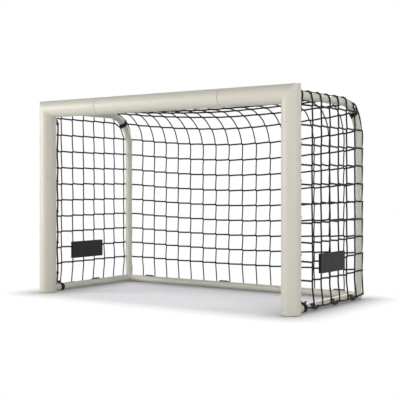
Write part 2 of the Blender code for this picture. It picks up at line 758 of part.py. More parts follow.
def make_clips():
    """The clips that hold the net's ground cord to the side bars and the rear bar."""
    mesh = clip_mesh()
    places = [
        (f"side_clip_{word}_{k + 1}", at(side * POST_X, depth, GROUND_BAR_Z), X * side)
        for side, word in ((-1, "left"), (1, "right"))
        for k, depth in enumerate(CLIP_DEPTHS)
    ]
    places += [
        (f"rear_clip_{k + 1}", at(x, REAR_AXIS_DEPTH, GROUND_BAR_Z), Y) for k, x in enumerate(CLIP_XS)
    ]
    for name, place, out in places:
        obj = bpy.data.objects.new(name, mesh.copy())
        bpy.context.scene.collection.objects.link(obj)
        turn = Matrix((out.cross(Z), out, Z)).transposed().to_4x4()
        obj.matrix_world = Matrix.Translation(place) @ turn
        dress(obj, "black_plastic")


def make_straps():
    """Fastening straps: one round each arm's bend and one round each side bar behind the post."""
    inner = REAR_R + GAP
    outer = inner + STRAP_THICK
    for side, word in ((-1, "left"), (1, "right")):
        x = side * POST_X
        bend = arc_points(BEND_DEPTH, BEND_Z, ARM_BEND_R, 90, 0, ARM_BEND_STEPS)
        one, two = (at(x, *bend[ARM_STRAP_FACET + k]) for k in (0, 1))
        along = (two - one).normalized()
        inward = along.cross(X)
        root = (one + two) / 2
        ring = [(root + along * (s * ARM_STRAP_WIDTH / 2), outer, inner) for s in (-1, 1)]
        strap = tube(f"arm_strap_{word}", ring, X, REAR_SIDES, "black_webbing", turned=True)
        tail = [(-0.0015, inner + 0.0004), (0.0015, inner + 0.0004), (0.0012, 0.040), (-0.0012, 0.040)]
        start = root - along * (0.4 * ARM_STRAP_WIDTH)
        join(strap, prism(f"arm_strap_tail_{word}", tail, start, 0.8 * ARM_STRAP_WIDTH, X, inward, along))
        half = BAR_STRAP_WIDTH / 2
        ring = [(at(x, BAR_STRAP_DEPTH + s, GROUND_BAR_Z), outer, inner) for s in (-half, half)]
        tube(f"bar_strap_{word}", ring, X, REAR_SIDES, "black_webbing")


def make_patches():
    """A plain rectangular fabric patch on the outside of each side net."""
    width, height = PATCH_SIZE
    for side, word in ((-1, "left"), (1, "right")):
        out = POST_X + REAR_R + CORD_LIFT + CORD / 2 + GAP
        corners = [(-width / 2, -height / 2), (width / 2, -height / 2), (width / 2, height / 2), (-width / 2, height / 2)]
        place = at(side * out, PATCH_DEPTH, PATCH_Z)
        prism(f"patch_{word}", corners, place, PATCH_THICK, Y, Z, X * side, "patch_fabric")


def main():
    clear_scene()
    frame = make_front_frame() | make_rear_frame()
    for button, carrier, cover in spring_buttons():
        button.fit(frame[carrier], frame[cover])
        button.build()
    make_caps()
    make_back_net()
    for side, word in ((-1, "left"), (1, "right")):
        make_side_net(side, word)
    make_edge_rope()
    make_clips()
    make_straps()
    make_patches()


main()
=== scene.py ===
"""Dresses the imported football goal: tubes, welds, spring buttons, net, ropes, clips, straps and patches.

Lengths are in metres. A depth is counted backwards from the front frame's axis plane, as in the part's
source, and `place` turns (x, depth, z) into the frame's own coordinates. Every shape is a numpy surface: a
grid of two parameters, or a profile carried along a path.
"""

import functools
import logging
import math
from dataclasses import dataclass, field
from enum import Enum
from typing import Callable, Sequence, Union

import bmesh
import bpy
import numpy as np
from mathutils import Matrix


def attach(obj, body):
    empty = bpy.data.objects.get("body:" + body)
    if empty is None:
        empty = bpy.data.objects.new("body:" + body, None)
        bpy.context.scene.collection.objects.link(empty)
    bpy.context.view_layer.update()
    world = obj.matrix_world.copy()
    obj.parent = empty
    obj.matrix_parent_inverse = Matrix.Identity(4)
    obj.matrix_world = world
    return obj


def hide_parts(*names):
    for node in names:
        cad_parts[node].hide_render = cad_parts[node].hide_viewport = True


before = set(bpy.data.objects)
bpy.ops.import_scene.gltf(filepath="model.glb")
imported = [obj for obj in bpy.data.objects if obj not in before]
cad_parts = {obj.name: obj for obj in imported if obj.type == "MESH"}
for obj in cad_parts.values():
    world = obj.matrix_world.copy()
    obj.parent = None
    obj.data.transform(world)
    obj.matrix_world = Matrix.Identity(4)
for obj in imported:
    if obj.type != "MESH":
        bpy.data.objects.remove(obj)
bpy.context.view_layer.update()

log = logging.getLogger("goal")

BODY = "goal"
POST_X = 0.638
BAR_Z = 0.838
FRONT_R = 0.038
FRONT_BORE = 0.036
SLEEVE_R = 0.0357
SLEEVE_BORE = 0.0342
REAR_R = 0.016
REAR_BORE = 0.0148
NECK_R = 0.0145
NECK_BORE = 0.0133
REAR_DEPTH = 0.578
BEND_R = 0.145
BEND_DEPTH = REAR_DEPTH - BEND_R
BEND_Z = BAR_Z - BEND_R
GROUND_Z = 0.0175
FRONT_Y = -0.28425
GAP = 0.0003
FOOT = 0.0015
MESH_PITCH = 0.0753
SHARP = 40.0
WHITE = (1.0, 1.0, 1.0)

X = np.array([1.0, 0.0, 0.0])
Y = np.array([0.0, 1.0, 0.0])
Z = np.array([0.0, 0.0, 1.0])
SKEW = np.array([0.21, 0.36, 0.91])
FLAT_BOX = np.array([[-1.0, -1.0], [1.0, -1.0], [1.0, 1.0], [-1.0, 1.0]])


class Side(Enum):
    """The goal's two sides as seen from the front."""

    LEFT = -1
    RIGHT = 1

    @property
    def word(self) -> str:
        """The side's word in node names."""
        return self.name.lower()

    @property
    def out(self) -> np.ndarray:
        """The way out of the goal on this side."""
        return X * self.value

    def pick(self, pair: Sequence) -> object:
        """This side's one of a (left, right) pair."""
        return pair[self is Side.RIGHT]

    def post(self, depth: float, z: float) -> np.ndarray:
        """The point in the plane of this side's post, arm and side bar at this depth and height."""
        return place(self.value * POST_X, depth, z)


def place(x: float, depth: float, z: float) -> np.ndarray:
    """The point at this X, depth behind the front frame's axis plane, and height."""
    return np.array([x, FRONT_Y + depth, z])


def places(points: np.ndarray) -> np.ndarray:
    """Many (x, depth, z) rows as frame coordinates."""
    return np.asarray(points, float) + np.array([0.0, FRONT_Y, 0.0])


def together(*parts: object) -> np.ndarray:
    """Numbers and arrays, spread to one shape, as the coordinates of points."""
    return np.stack(np.broadcast_arrays(*parts), axis=-1)


def unit(vectors: np.ndarray) -> np.ndarray:
    """The vectors scaled to length 1."""
    return vectors / np.linalg.norm(vectors, axis=-1, keepdims=True)


def run_length(path: np.ndarray) -> np.ndarray:
    """The distance along a path of points, 0 at its first."""
    steps = np.linalg.norm(np.diff(path, axis=0), axis=1)
    return np.concatenate([[0.0], np.cumsum(steps)])


def round_length(ring: np.ndarray) -> np.ndarray:
    """The distance along a closed ring of points, ending with the whole way round."""
    return run_length(np.vstack([ring, ring[:1]]))


def arc(centre: Sequence[float], radius: float, start: float, end: float, count: int) -> np.ndarray:
    """Points (u, v) on a circle from one angle to another, in degrees."""
    angle = np.radians(np.linspace(start, end, count))
    return np.stack([centre[0] + radius * np.cos(angle), centre[1] + radius * np.sin(angle)], axis=1)


def fan(first: np.ndarray, second: np.ndarray, sides: int) -> np.ndarray:
    """The directions cos(angle) * first + sin(angle) * second all the way round, as (..., sides, 3)."""
    angle = 2 * np.pi * np.arange(sides)[:, None] / sides
    return np.cos(angle) * first[..., None, :] + np.sin(angle) * second[..., None, :]


@dataclass
class Shape:
    """Points and faces of a mesh, with a UV pair for each face corner."""

    points: np.ndarray
    corners: np.ndarray
    counts: np.ndarray
    uv: np.ndarray

    @staticmethod
    def joined(shapes: Sequence["Shape"]) -> "Shape":
        """Several shapes as one, each keeping its own points."""
        starts = np.cumsum([0] + [len(shape.points) for shape in shapes[:-1]])
        corners = [shape.corners + start for shape, start in zip(shapes, starts)]
        points, counts, uv = (
            np.concatenate([getattr(shape, part) for shape in shapes]) for part in ("points", "counts", "uv")
        )
        return Shape(points, np.concatenate(corners), counts, uv)

    def stamped(self, centres: np.ndarray, axes: np.ndarray, size: Union[float, np.ndarray] = 1.0) -> "Shape":
        """A copy of the shape at each of many places, as one shape.

        Args:
            centres: (n, 3) the copies' origins.
            axes: (n, 3, 3) what the shape's X, Y and Z become in each copy.
            size: One scale, or (n, 1, 1) of them.

        Returns:
            All the copies.
        """
        count = len(centres)
        points = centres[:, None] + size * np.einsum("pk,nkd->npd", self.points, axes)
        corners = self.corners[None] + np.arange(count)[:, None] * len(self.points)
        uv = np.tile(self.uv, (count, 1))
        return Shape(points.reshape(-1, 3), corners.ravel(), np.tile(self.counts, count), uv)

    def mesh(self, name: str, sharp: float = SHARP) -> bpy.types.Mesh:
        """The shape as a smooth mesh with its UV map; edges turned by more than sharp degrees stay sharp."""
        mesh = bpy.data.meshes.new(name)
        mesh.vertices.add(len(self.points))
        mesh.vertices.foreach_set("co", self.points.astype(np.float32).ravel())
        mesh.loops.add(len(self.corners))
        mesh.loops.foreach_set("vertex_index", self.corners.astype(np.int32))
        mesh.polygons.add(len(self.counts))
        starts = np.concatenate([[0], np.cumsum(self.counts)[:-1]])
        mesh.polygons.foreach_set("loop_start", starts.astype(np.int32))
        mesh.polygons.foreach_set("loop_total", self.counts.astype(np.int32))
        mesh.update(calc_edges=True)
        layer = mesh.uv_layers.new(name="UVMap")
        layer.data.foreach_set("uv", self.uv.astype(np.float32).ravel())
        mesh.validate()
        shade(mesh, sharp)
        return mesh


def shade(mesh: bpy.types.Mesh, sharp: float) -> None:
    """Shades a mesh smooth but for the edges that turn by more than this many degrees."""
    mesh.shade_smooth()
    mesh.set_sharp_from_angle(angle=math.radians(sharp))


def woven(points: np.ndarray, uv: np.ndarray, wrap_rows: bool = False, wrap_columns: bool = True,
          caps: bool = False) -> Shape:
    """A grid of points as quads.

    Args:
        points: (rows, columns, 3). Outwards is the side from which columns, then rows, run anticlockwise.
        uv: (rows + 1 if they wrap, columns + 1 if they wrap, 2).
        wrap_rows: Joins the last row to the first.
        wrap_columns: Joins the last column to the first.
        caps: Closes the first and the last row with a face each.

    Returns:
        The shape.
    """
    rows, columns = points.shape[:2]
    across = np.arange(columns if wrap_columns else columns - 1)
    i, j = np.meshgrid(np.arange(rows if wrap_rows else rows - 1), across, indexing="ij")
    i, j = i.ravel(), j.ravel()
    turns = [(0, 0), (0, 1), (1, 1), (1, 0)]
    corners = np.stack([((i + a) % rows) * columns + (j + b) % columns for a, b in turns], axis=1).ravel()
    corner_uv = np.stack([uv[i + a, j + b] for a, b in turns], axis=1).reshape(-1, 2)
    counts = np.full(len(i), len(turns))
    if caps:
        ring = np.arange(columns)
        corners = np.concatenate([corners, ring[::-1], ring + (rows - 1) * columns])
        corner_uv = np.concatenate([corner_uv, uv[0, ring[::-1]], uv[-1, ring]])
        counts = np.concatenate([counts, [columns, columns]])
    return Shape(points.reshape(-1, 3), corners, counts, corner_uv)


def ring_uv(lengths: np.ndarray, sides: int) -> np.ndarray:
    """UV of rings: u is the length along the path in metres, v goes once round."""
    return together(lengths[:, None], np.arange(sides + 1) / sides)


def carried(path: np.ndarray, radius: Union[float, np.ndarray], up: np.ndarray, sides: int = 8,
            lobes: int = 0, lobe_depth: float = 0.0, pitch: float = 1.0) -> Shape:
    """A round or twisted profile carried along a path, closed at both ends.

    A ring's radius is radius * (1 + depth * cos(lobes * angle - turn)), where the turn grows with the length.

    Args:
        path: (n, 3) points.
        radius: One radius, or one for each point.
        up: A direction, or one for each point, that the path never runs along.
        sides: Points in a ring.
        lobes: Strands of a twisted profile; 0 for a plain round one.
        lobe_depth: How far the lobes stand out, as a share of the radius.
        pitch: Length of one full twist.

    Returns:
        The closed shape.
    """
    along = unit(np.gradient(path, axis=0))
    first = unit(np.cross(up, along))
    length = run_length(path)
    angle = 2 * np.pi * np.arange(sides) / sides
    swell = 1 + lobe_depth * np.cos(lobes * (angle - 2 * np.pi * length[:, None] / pitch))
    reach = (np.broadcast_to(radius, len(path))[:, None] * swell)[..., None]
    points = path[:, None] + reach * fan(first, np.cross(along, first), sides)
    return woven(points, ring_uv(length, sides), caps=True)


def turned(centre: np.ndarray, axis: np.ndarray, outline: np.ndarray, sides: int = 48) -> Shape:
    """An outline of (radius, height) turned round an axis, closed by its two end rings.

    Args:
        centre: The point at height 0.
        axis: The direction in which the height grows.
        outline: (n, 2), from the bottom of the outer side to the top.
        sides: Points in a ring.

    Returns:
        The closed shape.
    """
    first = unit(np.cross(axis, SKEW))
    ring = fan(first, np.cross(axis, first), sides)
    points = centre + outline[:, None, :1] * ring + outline[:, None, 1:] * axis
    return woven(points, ring_uv(run_length(outline), sides), caps=True)


def pushed(outline: np.ndarray, start: np.ndarray, first: np.ndarray, second: np.ndarray, length: float,
           steps: int = 2) -> Shape:
    """A closed flat outline pushed along first x second.

    Args:
        outline: (n, 2) anticlockwise pairs along the first and second direction.
        start: The outline's origin.
        first: Direction of the pairs' first number.
        second: Direction of their second number.
        length: How far the outline is pushed.
        steps: Rings along the way.

    Returns:
        The closed shape.
    """
    flat = start + outline[:, :1] * first + outline[:, 1:] * second
    offsets = np.linspace(0, length, steps)
    points = flat[None] + offsets[:, None, None] * np.cross(first, second)
    uv = ring_uv(offsets, len(outline))
    uv[..., 1] *= round_length(outline)[-1]
    return woven(points, uv, caps=True)


def strip_outline(centre: np.ndarray, thickness: float) -> np.ndarray:
    """The anticlockwise outline of a strip of even thickness along a line of (u, v) points."""
    along = unit(np.gradient(centre, axis=0))
    square = np.stack([along[:, 1], -along[:, 0]], axis=1) * thickness / 2
    return np.concatenate([centre + square, (centre - square)[::-1]])


def smooth_through(controls: np.ndarray, step: float, fine: int = 12) -> np.ndarray:
    """A smooth curve through points, as cubic pieces whose slopes come from the chords on both sides.

    Args:
        controls: (n, 3) points, at any spacing.
        step: Rough distance between the curve's points.
        fine: Points to a cubic piece before they are spaced evenly.

    Returns:
        (m, 3) points, evenly spaced.
    """
    gaps = np.linalg.norm(np.diff(controls, axis=0), axis=1)
    chords = np.diff(controls, axis=0) / gaps[:, None]
    inner = (chords[:-1] * gaps[1:, None] + chords[1:] * gaps[:-1, None]) / (gaps[:-1] + gaps[1:])[:, None]
    slopes = np.vstack([chords[:1], inner, chords[-1:]])
    t = np.linspace(0, 1, fine + 1)[None, :-1, None]
    p, q = controls[:-1, None], controls[1:, None]
    m, n = (slopes[:-1] * gaps[:, None])[:, None], (slopes[1:] * gaps[:, None])[:, None]
    dense = (2 * t**3 - 3 * t**2 + 1) * p + (t**3 - 2 * t**2 + t) * m
    dense = dense + (3 * t**2 - 2 * t**3) * q + (t**3 - t**2) * n
    dense = np.vstack([dense.reshape(-1, 3), controls[-1:]])
    length = run_length(dense)
    even = np.linspace(0, length[-1], max(int(round(length[-1] / step)) + 1, 3))
    return np.stack([np.interp(even, length, dense[:, k]) for k in range(3)], axis=1)


def mitred_rings(route: np.ndarray, side: np.ndarray, close_by: float = 0.0005, bent: float = 0.7) -> tuple:
    """The rings of a tube carried along a flat route.

    A ring lies on the plane that halves the turn, so its direction across the path is lengthened by
    1 / cos(half the turn). A sharp corner gets one more ring of the same lean close to each side of it, which
    keeps its edge.

    Args:
        route: (n, 3) points of the axis.
        side: The direction square to the route's plane.
        close_by: How near a sharp corner's extra rings are.
        bent: A corner is sharp where the cosine of its turn is less than this.

    Returns:
        The rings' centres, their directions across the path, and each ring's number in the route.
    """
    steps = unit(np.diff(route, axis=0))
    before, after = np.vstack([steps[:1], steps]), np.vstack([steps, steps[-1:]])
    along = unit(before + after)
    across = np.cross(along, side) / np.sum(along * after, axis=1, keepdims=True)
    sharp = np.sum(before * after, axis=1) < bent
    number = np.repeat(np.arange(len(route)), np.where(sharp, 3, 1))
    place_in = np.concatenate([[-1.0, 0.0, 1.0] if s else [0.0] for s in sharp])[:, None]
    shift = np.where(place_in < 0, before[number], after[number]) * place_in * close_by
    return route[number] + shift, across[number], number


def pipe(route: np.ndarray, outer: float, bore: float, side: np.ndarray, sides: int = 64,
         rims: Sequence[float] = (0.0007, 0.0007), hold: float = 0.0015) -> Shape:
    """A tube with a wall, carried along a flat route, with its rims rounded off.

    The rings run along the outside, over the end rim, back through the bore and over the first rim. A rim's
    edge follows a quarter circle: rim size * (1 - sin(t)) inwards and * (1 - cos(t)) along.

    Args:
        route: (n, 3) points of the axis.
        outer: Outer radius.
        bore: Bore radius.
        side: The direction square to the route's plane.
        sides: Points in a ring.
        rims: Size of the rounding of the first and of the last outer rim.
        hold: How far behind a rim one more ring keeps the tube's shading straight.

    Returns:
        The closed shape.
    """
    centres, across, _ = mitred_rings(route, side)
    first, last = unit(route[1] - route[0]), unit(route[-1] - route[-2])
    t = np.linspace(0, np.pi / 2, 4)
    inset, way = np.append(1 - np.sin(t), 0.0), np.append(1 - np.cos(t), 1.0)
    held = np.append(0 * t, hold)
    start_way = route[0] + first * (rims[0] * way + held)[:, None]
    end_way = (route[-1] - last * (rims[1] * way + held)[:, None])[::-1]
    centres = np.vstack([start_way, centres[1:-1], end_way, centres[::-1]])
    radii = np.concatenate([
        outer - rims[0] * inset, np.full(len(across) - 2, outer), (outer - rims[1] * inset)[::-1],
        np.full(len(across), bore),
    ])
    ends = [np.repeat(end, len(held), axis=0) for end in (across[:1], across[-1:])]
    lean = np.vstack([ends[0], across[1:-1], ends[1], across[::-1]])
    points = centres[:, None] + radii[:, None, None] * fan(lean, side, sides)
    return woven(points, ring_uv(round_length(centres), sides), wrap_rows=True)


def plain_pipe(start: np.ndarray, end: np.ndarray, outer: float, bore: float, side: np.ndarray,
               sides: int = 64, rim: float = 0.0007) -> Shape:
    """A straight tube between two points."""
    return pipe(np.array([start, end]), outer, bore, side, sides, (rim, rim))


def solid(route: np.ndarray, radii: Sequence[float], side: np.ndarray, sides: int = 64) -> Shape:
    """A solid bar along a route with mitred corners: rings as in pipe, closed at both ends."""
    centres, across, number = mitred_rings(route, side)
    points = centres[:, None] + np.asarray(radii)[number][:, None, None] * fan(across, side, sides)
    return woven(points, ring_uv(run_length(centres), sides), caps=True)


def bar(start: np.ndarray, end: np.ndarray, radius: float, sides: int = 64) -> Shape:
    """A plain solid bar between two points."""
    length = float(np.linalg.norm(end - start))
    return turned(start, unit(end - start), np.array([[radius, 0.0], [radius, length]]), sides)


class Bench:
    """Builds nodes in the tree of a material or of the world."""

    def __init__(self, owner: bpy.types.ID) -> None:
        """Switches the owner's nodes on."""
        owner.use_nodes = True
        self.owner = owner
        self.tree = owner.node_tree

    def feed(self, socket: bpy.types.NodeSocket, value: object) -> None:
        """Links a socket to another, or sets its value; a colour is given as three numbers."""
        if isinstance(value, bpy.types.NodeSocket):
            self.tree.links.new(value, socket)
        else:
            socket.default_value = (*value, 1.0) if socket.type == "RGBA" else value

    def add(self, kind: str, output: Union[int, str], inputs: dict,
            **settings: object) -> bpy.types.NodeSocket:
        """Adds a node.

        Args:
            kind: The node's type name, without its ShaderNode prefix.
            output: Which of its sockets to give back.
            inputs: Input name or number to a value or to another node's socket.
            **settings: The node's own properties.

        Returns:
            The output socket.
        """
        node = self.tree.nodes.new(f"ShaderNode{kind}")
        for key, value in settings.items():
            setattr(node, key, value)
        for key, value in inputs.items():
            self.feed(node.inputs[key], value)
        return node.outputs[output]

    def where(self) -> bpy.types.NodeSocket:
        """The point on the surface in the object's own coordinates."""
        return self.add("TexCoord", "Object", {})

    def split(self, vector: bpy.types.NodeSocket) -> tuple:
        """A vector's three numbers as sockets."""
        return tuple(self.add("SeparateXYZ", 0, {0: vector}).node.outputs)

    def math(self, operation: str, *values: object) -> bpy.types.NodeSocket:
        """A Math node on values or sockets."""
        return self.add("Math", 0, dict(enumerate(values)), operation=operation)

    def wave(self, value: bpy.types.NodeSocket, length: float) -> bpy.types.NodeSocket:
        """A sine wave of this length."""
        return self.math("SINE", self.math("MULTIPLY", value, 2 * math.pi / length))

    def noise(self, where: bpy.types.NodeSocket, scale: float, detail: float = 2.0) -> bpy.types.NodeSocket:
        """A noise value at this scale per metre."""
        inputs = {"Vector": where, "Scale": scale, "Detail": detail, "Roughness": 0.5}
        return self.add("TexNoise", "Fac", inputs)

    def ramp(self, value: bpy.types.NodeSocket, low: float, high: float, to_low: float = 0.0,
             to_high: float = 1.0) -> bpy.types.NodeSocket:
        """The value carried from one range to another and held inside it."""
        inputs = {"Value": value, "From Min": low, "From Max": high, "To Min": to_low, "To Max": to_high}
        return self.add("MapRange", 0, inputs)

    def blend(self, share: object, one: object, two: object) -> bpy.types.NodeSocket:
        """A colour between two colours."""
        return self.add("Mix", 2, {0: share, 6: one, 7: two}, data_type="RGBA")

    def bump(self, height: bpy.types.NodeSocket, depth: float, strength: float = 1.0,
             **under: bpy.types.NodeSocket) -> bpy.types.NodeSocket:
        """A bumped normal, over another one given as Normal; depth is in metres."""
        return self.add("Bump", 0, {"Height": height, "Distance": depth, "Strength": strength, **under})

    def finish(self, **inputs: object) -> bpy.types.Material:
        """Sets or links the surface shader's inputs, with _ for a blank, and gives back the material."""
        for key, value in inputs.items():
            self.feed(self.tree.nodes["Principled BSDF"].inputs[key.replace("_", " ")], value)
        return self.owner


@dataclass(frozen=True)
class Finish:
    """What a piece is finished in: the material's name, a slot name that is not used, and its colour."""

    name: str
    slot: str
    colour: tuple

    def toned(self, factor: float) -> tuple:
        """The colour, darker or lighter by a factor."""
        return tuple(factor * c for c in self.colour)

    @functools.cache
    def material(self) -> bpy.types.Material:
        """The node material, made once."""
        bench = Bench(bpy.data.materials.new(self.name))
        return bench.finish(**self.looks(bench))

    def looks(self, bench: Bench) -> dict:
        """The shader's inputs, with the nodes behind them made on this bench."""
        raise NotImplementedError


class PowderCoat(Finish):
    """Off-white powder coat: fine orange peel, faint cloudiness and a little dust near the ground."""

    def looks(self, bench: Bench) -> dict:
        """Cloudy colour, dust up to 45 mm high, and a fine peel."""
        where = bench.where()
        cloud = bench.ramp(bench.noise(where, 5.0, 3.0), 0.35, 0.65, 0.0, 0.035)
        colour = bench.blend(cloud, self.colour, self.toned(0.86))
        low = bench.ramp(bench.split(where)[2], 0.0, 0.045, 0.16, 0.0)
        grime = bench.math("MULTIPLY", low, bench.ramp(bench.noise(where, 60.0, 4.0), 0.35, 0.7))
        return dict(
            Base_Color=bench.blend(grime, colour, (0.36, 0.34, 0.28)),
            Roughness=bench.ramp(bench.noise(where, 40.0, 3.0), 0.3, 0.7, 0.38, 0.46),
            IOR=1.42,
            Specular_IOR_Level=0.4,
            Normal=bench.bump(bench.noise(where, 520.0, 1.0), 0.00006, 0.6),
        )


@dataclass(frozen=True)
class TwistedCord(Finish):
    """Black twisted cord: strands wind round it, by the UV's length and turn, with painted shade between them
    and painted fibre highlights.
    """

    pitch: float
    strands: int = 3
    depth: float = 0.0004

    def looks(self, bench: Bench) -> dict:
        """Strands of height |sin(pi * (strands * v + u / pitch))|, with painted shade in their grooves and
        fibres along them.
        """
        u, v, _ = bench.split(bench.add("UVMap", 0, {}))
        turn = bench.math("MULTIPLY_ADD", v, float(self.strands), bench.math("DIVIDE", u, self.pitch))
        strand = bench.math("ABSOLUTE", bench.wave(turn, 2.0))
        fibre_at = bench.add("CombineXYZ", 0, {0: bench.math("MULTIPLY", u, 90.0), 1: turn, 2: 0.0})
        fibre = bench.noise(fibre_at, 9.0)
        # painted shade: the colour darkens to 0.45 of itself in the grooves between the strands
        colour = bench.blend(bench.ramp(strand, 0.0, 0.5), self.toned(0.45), self.colour)
        # painted highlight: lighter streaks of fibre along the strands are blended into Base_Color
        return dict(
            Base_Color=bench.blend(bench.ramp(fibre, 0.5, 0.8, 0.0, 0.4), colour, (0.020, 0.020, 0.022)),
            Roughness=0.75,
            Specular_IOR_Level=0.25,
            Sheen_Weight=0.06,
            Sheen_Roughness=0.5,
            Normal=bench.bump(fibre, 0.00008, 0.5, Normal=bench.bump(strand, self.depth)),
        )


class MouldedPlastic(Finish):
    """Black moulded plastic with a fine spark-eroded grain."""

    def looks(self, bench: Bench) -> dict:
        """Scuffed colour and a fine grain."""
        where = bench.where()
        scuff = bench.ramp(bench.noise(where, 140.0, 4.0), 0.55, 0.75, 0.0, 0.35)
        return dict(
            Base_Color=bench.blend(scuff, self.colour, (0.020, 0.020, 0.021)),
            Roughness=bench.ramp(bench.noise(where, 300.0), 0.3, 0.7, 0.42, 0.56),
            Specular_IOR_Level=0.35,
            Normal=bench.bump(bench.noise(where, 2200.0), 0.00005, 0.5),
        )


class Webbing(Finish):
    """Black woven strap: ribs across the UV's first number and yarns along the second."""

    def looks(self, bench: Bench) -> dict:
        """A weave that is the product of two sine waves 1.4 mm and 0.9 mm long, worn in places."""
        u, v, _ = bench.split(bench.add("UVMap", 0, {}))
        weave = bench.math("MULTIPLY", bench.wave(u, 0.0014), bench.wave(v, 0.0009))
        worn = bench.ramp(bench.noise(bench.where(), 200.0, 3.0), 0.5, 0.8, 0.0, 0.4)
        return dict(
            Base_Color=bench.blend(worn, self.colour, (0.024, 0.024, 0.025)),
            Roughness=0.8,
            Specular_IOR_Level=0.25,
            Sheen_Weight=0.06,
            Sheen_Roughness=0.5,
            Normal=bench.bump(weave, 0.00012),
        )


class PatchCloth(Finish):
    """Black coated cloth of the patches, a fine plain weave under a dull coating."""

    def looks(self, bench: Bench) -> dict:
        """A weave that is the product of two sine waves 0.8 mm long, under a cloudy coating."""
        where = bench.where()
        _, y, z = bench.split(where)
        weave = bench.math("MULTIPLY", bench.wave(y, 0.0008), bench.wave(z, 0.0008))
        cloud = bench.ramp(bench.noise(where, 35.0, 4.0), 0.4, 0.7, 0.0, 0.25)
        return dict(
            Base_Color=bench.blend(cloud, self.colour, self.toned(1.5)),
            Roughness=0.62,
            Specular_IOR_Level=0.3,
            Sheen_Weight=0.04,
            Sheen_Roughness=0.5,
            Normal=bench.bump(weave, 0.00006),
        )


class ZincPlate(Finish):
    """Bright zinc on the spring buttons and sleeves, with faint crystals and rubbed roughness."""

    def looks(self, bench: Bench) -> dict:
        """Crystals in the colour and a metal whose roughness varies."""
        where = bench.where()
        crystal = bench.add("TexVoronoi", "Distance", {"Vector": where, "Scale": 420.0})
        return dict(
            Base_Color=bench.blend(bench.ramp(crystal, 0.0, 0.7, 0.0, 0.35), self.colour, self.toned(0.72)),
            Metallic=1.0,
            Roughness=bench.ramp(bench.noise(where, 260.0, 3.0), 0.3, 0.7, 0.24, 0.42),
            Normal=bench.bump(bench.noise(where, 900.0), 0.00003, 0.5),
        )


CORD_BLACK = (0.0070, 0.0070, 0.0080)
COAT = PowderCoat("powder_coat", "coated_steel", (0.625, 0.602, 0.515))
NET_CORD = TwistedCord("net_cord", "black_cord", CORD_BLACK, 0.010)
EDGE_CORD = TwistedCord("edge_cord", "black_cord", CORD_BLACK, 0.0045, 2, 0.0002)
THREAD = TwistedCord("thread", "patch_fabric", CORD_BLACK, 0.0012, 2, 0.00008)
PLASTIC = MouldedPlastic("moulded_plastic", "black_plastic", (0.0080, 0.0080, 0.0088))
WEBBING = Webbing("webbing", "black_webbing", (0.009, 0.009, 0.010))
PATCH_CLOTH = PatchCloth("patch_cloth", "patch_fabric", (0.0085, 0.0088, 0.0100))
ZINC = ZincPlate("zinc_plate", "zinc_steel", (0.58, 0.58, 0.57))


def piece(name: str, shape: Shape, finish: Finish, nodes: Sequence[str] = (),
          body: str = BODY) -> bpy.types.Object:
    """Puts a shape into the scene as a piece.

    Args:
        name: The piece's name.
        shape: Its shape, in place.
        finish: What it is finished in.
        nodes: The CAD nodes that it stands for.
        body: The body that it rides on.

    Returns:
        The new object.
    """
    obj = bpy.data.objects.new(name, shape.mesh(name))
    bpy.context.scene.collection.objects.link(obj)
    obj.data.materials.append(finish.material())
    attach(obj, body)
    if nodes:
        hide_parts(*nodes)
    log.info("%s: %d faces", name, len(obj.data.polygons))
    return obj


def close(mesh: bpy.types.Mesh, sharp: float = SHARP, weld: float = 1e-6, sliver_sides: int = 4) -> None:
    """Welds a closed piece's points that coincide, fills slivers that are left open and shades it anew."""
    work = bmesh.new()
    work.from_mesh(mesh)
    bmesh.ops.remove_doubles(work, verts=work.verts, dist=weld)
    rims = [edge for edge in work.edges if edge.is_boundary]
    if rims:
        bmesh.ops.holes_fill(work, edges=rims, sides=sliver_sides)
    work.to_mesh(mesh)
    work.free()
    shade(mesh, sharp)


def carve(obj: bpy.types.Object, shapes: Sequence[Shape], operation: str = "DIFFERENCE",
          sharp: float = SHARP) -> None:
    """Cuts closed shapes out of a piece, or joins them to it, and keeps the result as its mesh.

    Args:
        obj: The piece.
        shapes: Closed shapes.
        operation: DIFFERENCE or UNION.
        sharp: Edges that turn by more than this many degrees are shaded sharp.
    """
    helpers = []
    for k, shape in enumerate(shapes):
        helper = bpy.data.objects.new(f"{obj.name}_helper_{k}", shape.mesh("helper"))
        bpy.context.scene.collection.objects.link(helper)
        modifier = obj.modifiers.new(f"carve_{k}", "BOOLEAN")
        modifier.operation = operation
        modifier.solver = "EXACT"
        modifier.object = helper
        helpers.append(helper)
    graph = bpy.context.evaluated_depsgraph_get()
    mesh = bpy.data.meshes.new_from_object(obj.evaluated_get(graph))
    obj.modifiers.clear()
    obj.data = mesh
    close(mesh, sharp)
    for helper in helpers:
        bpy.data.objects.remove(helper)


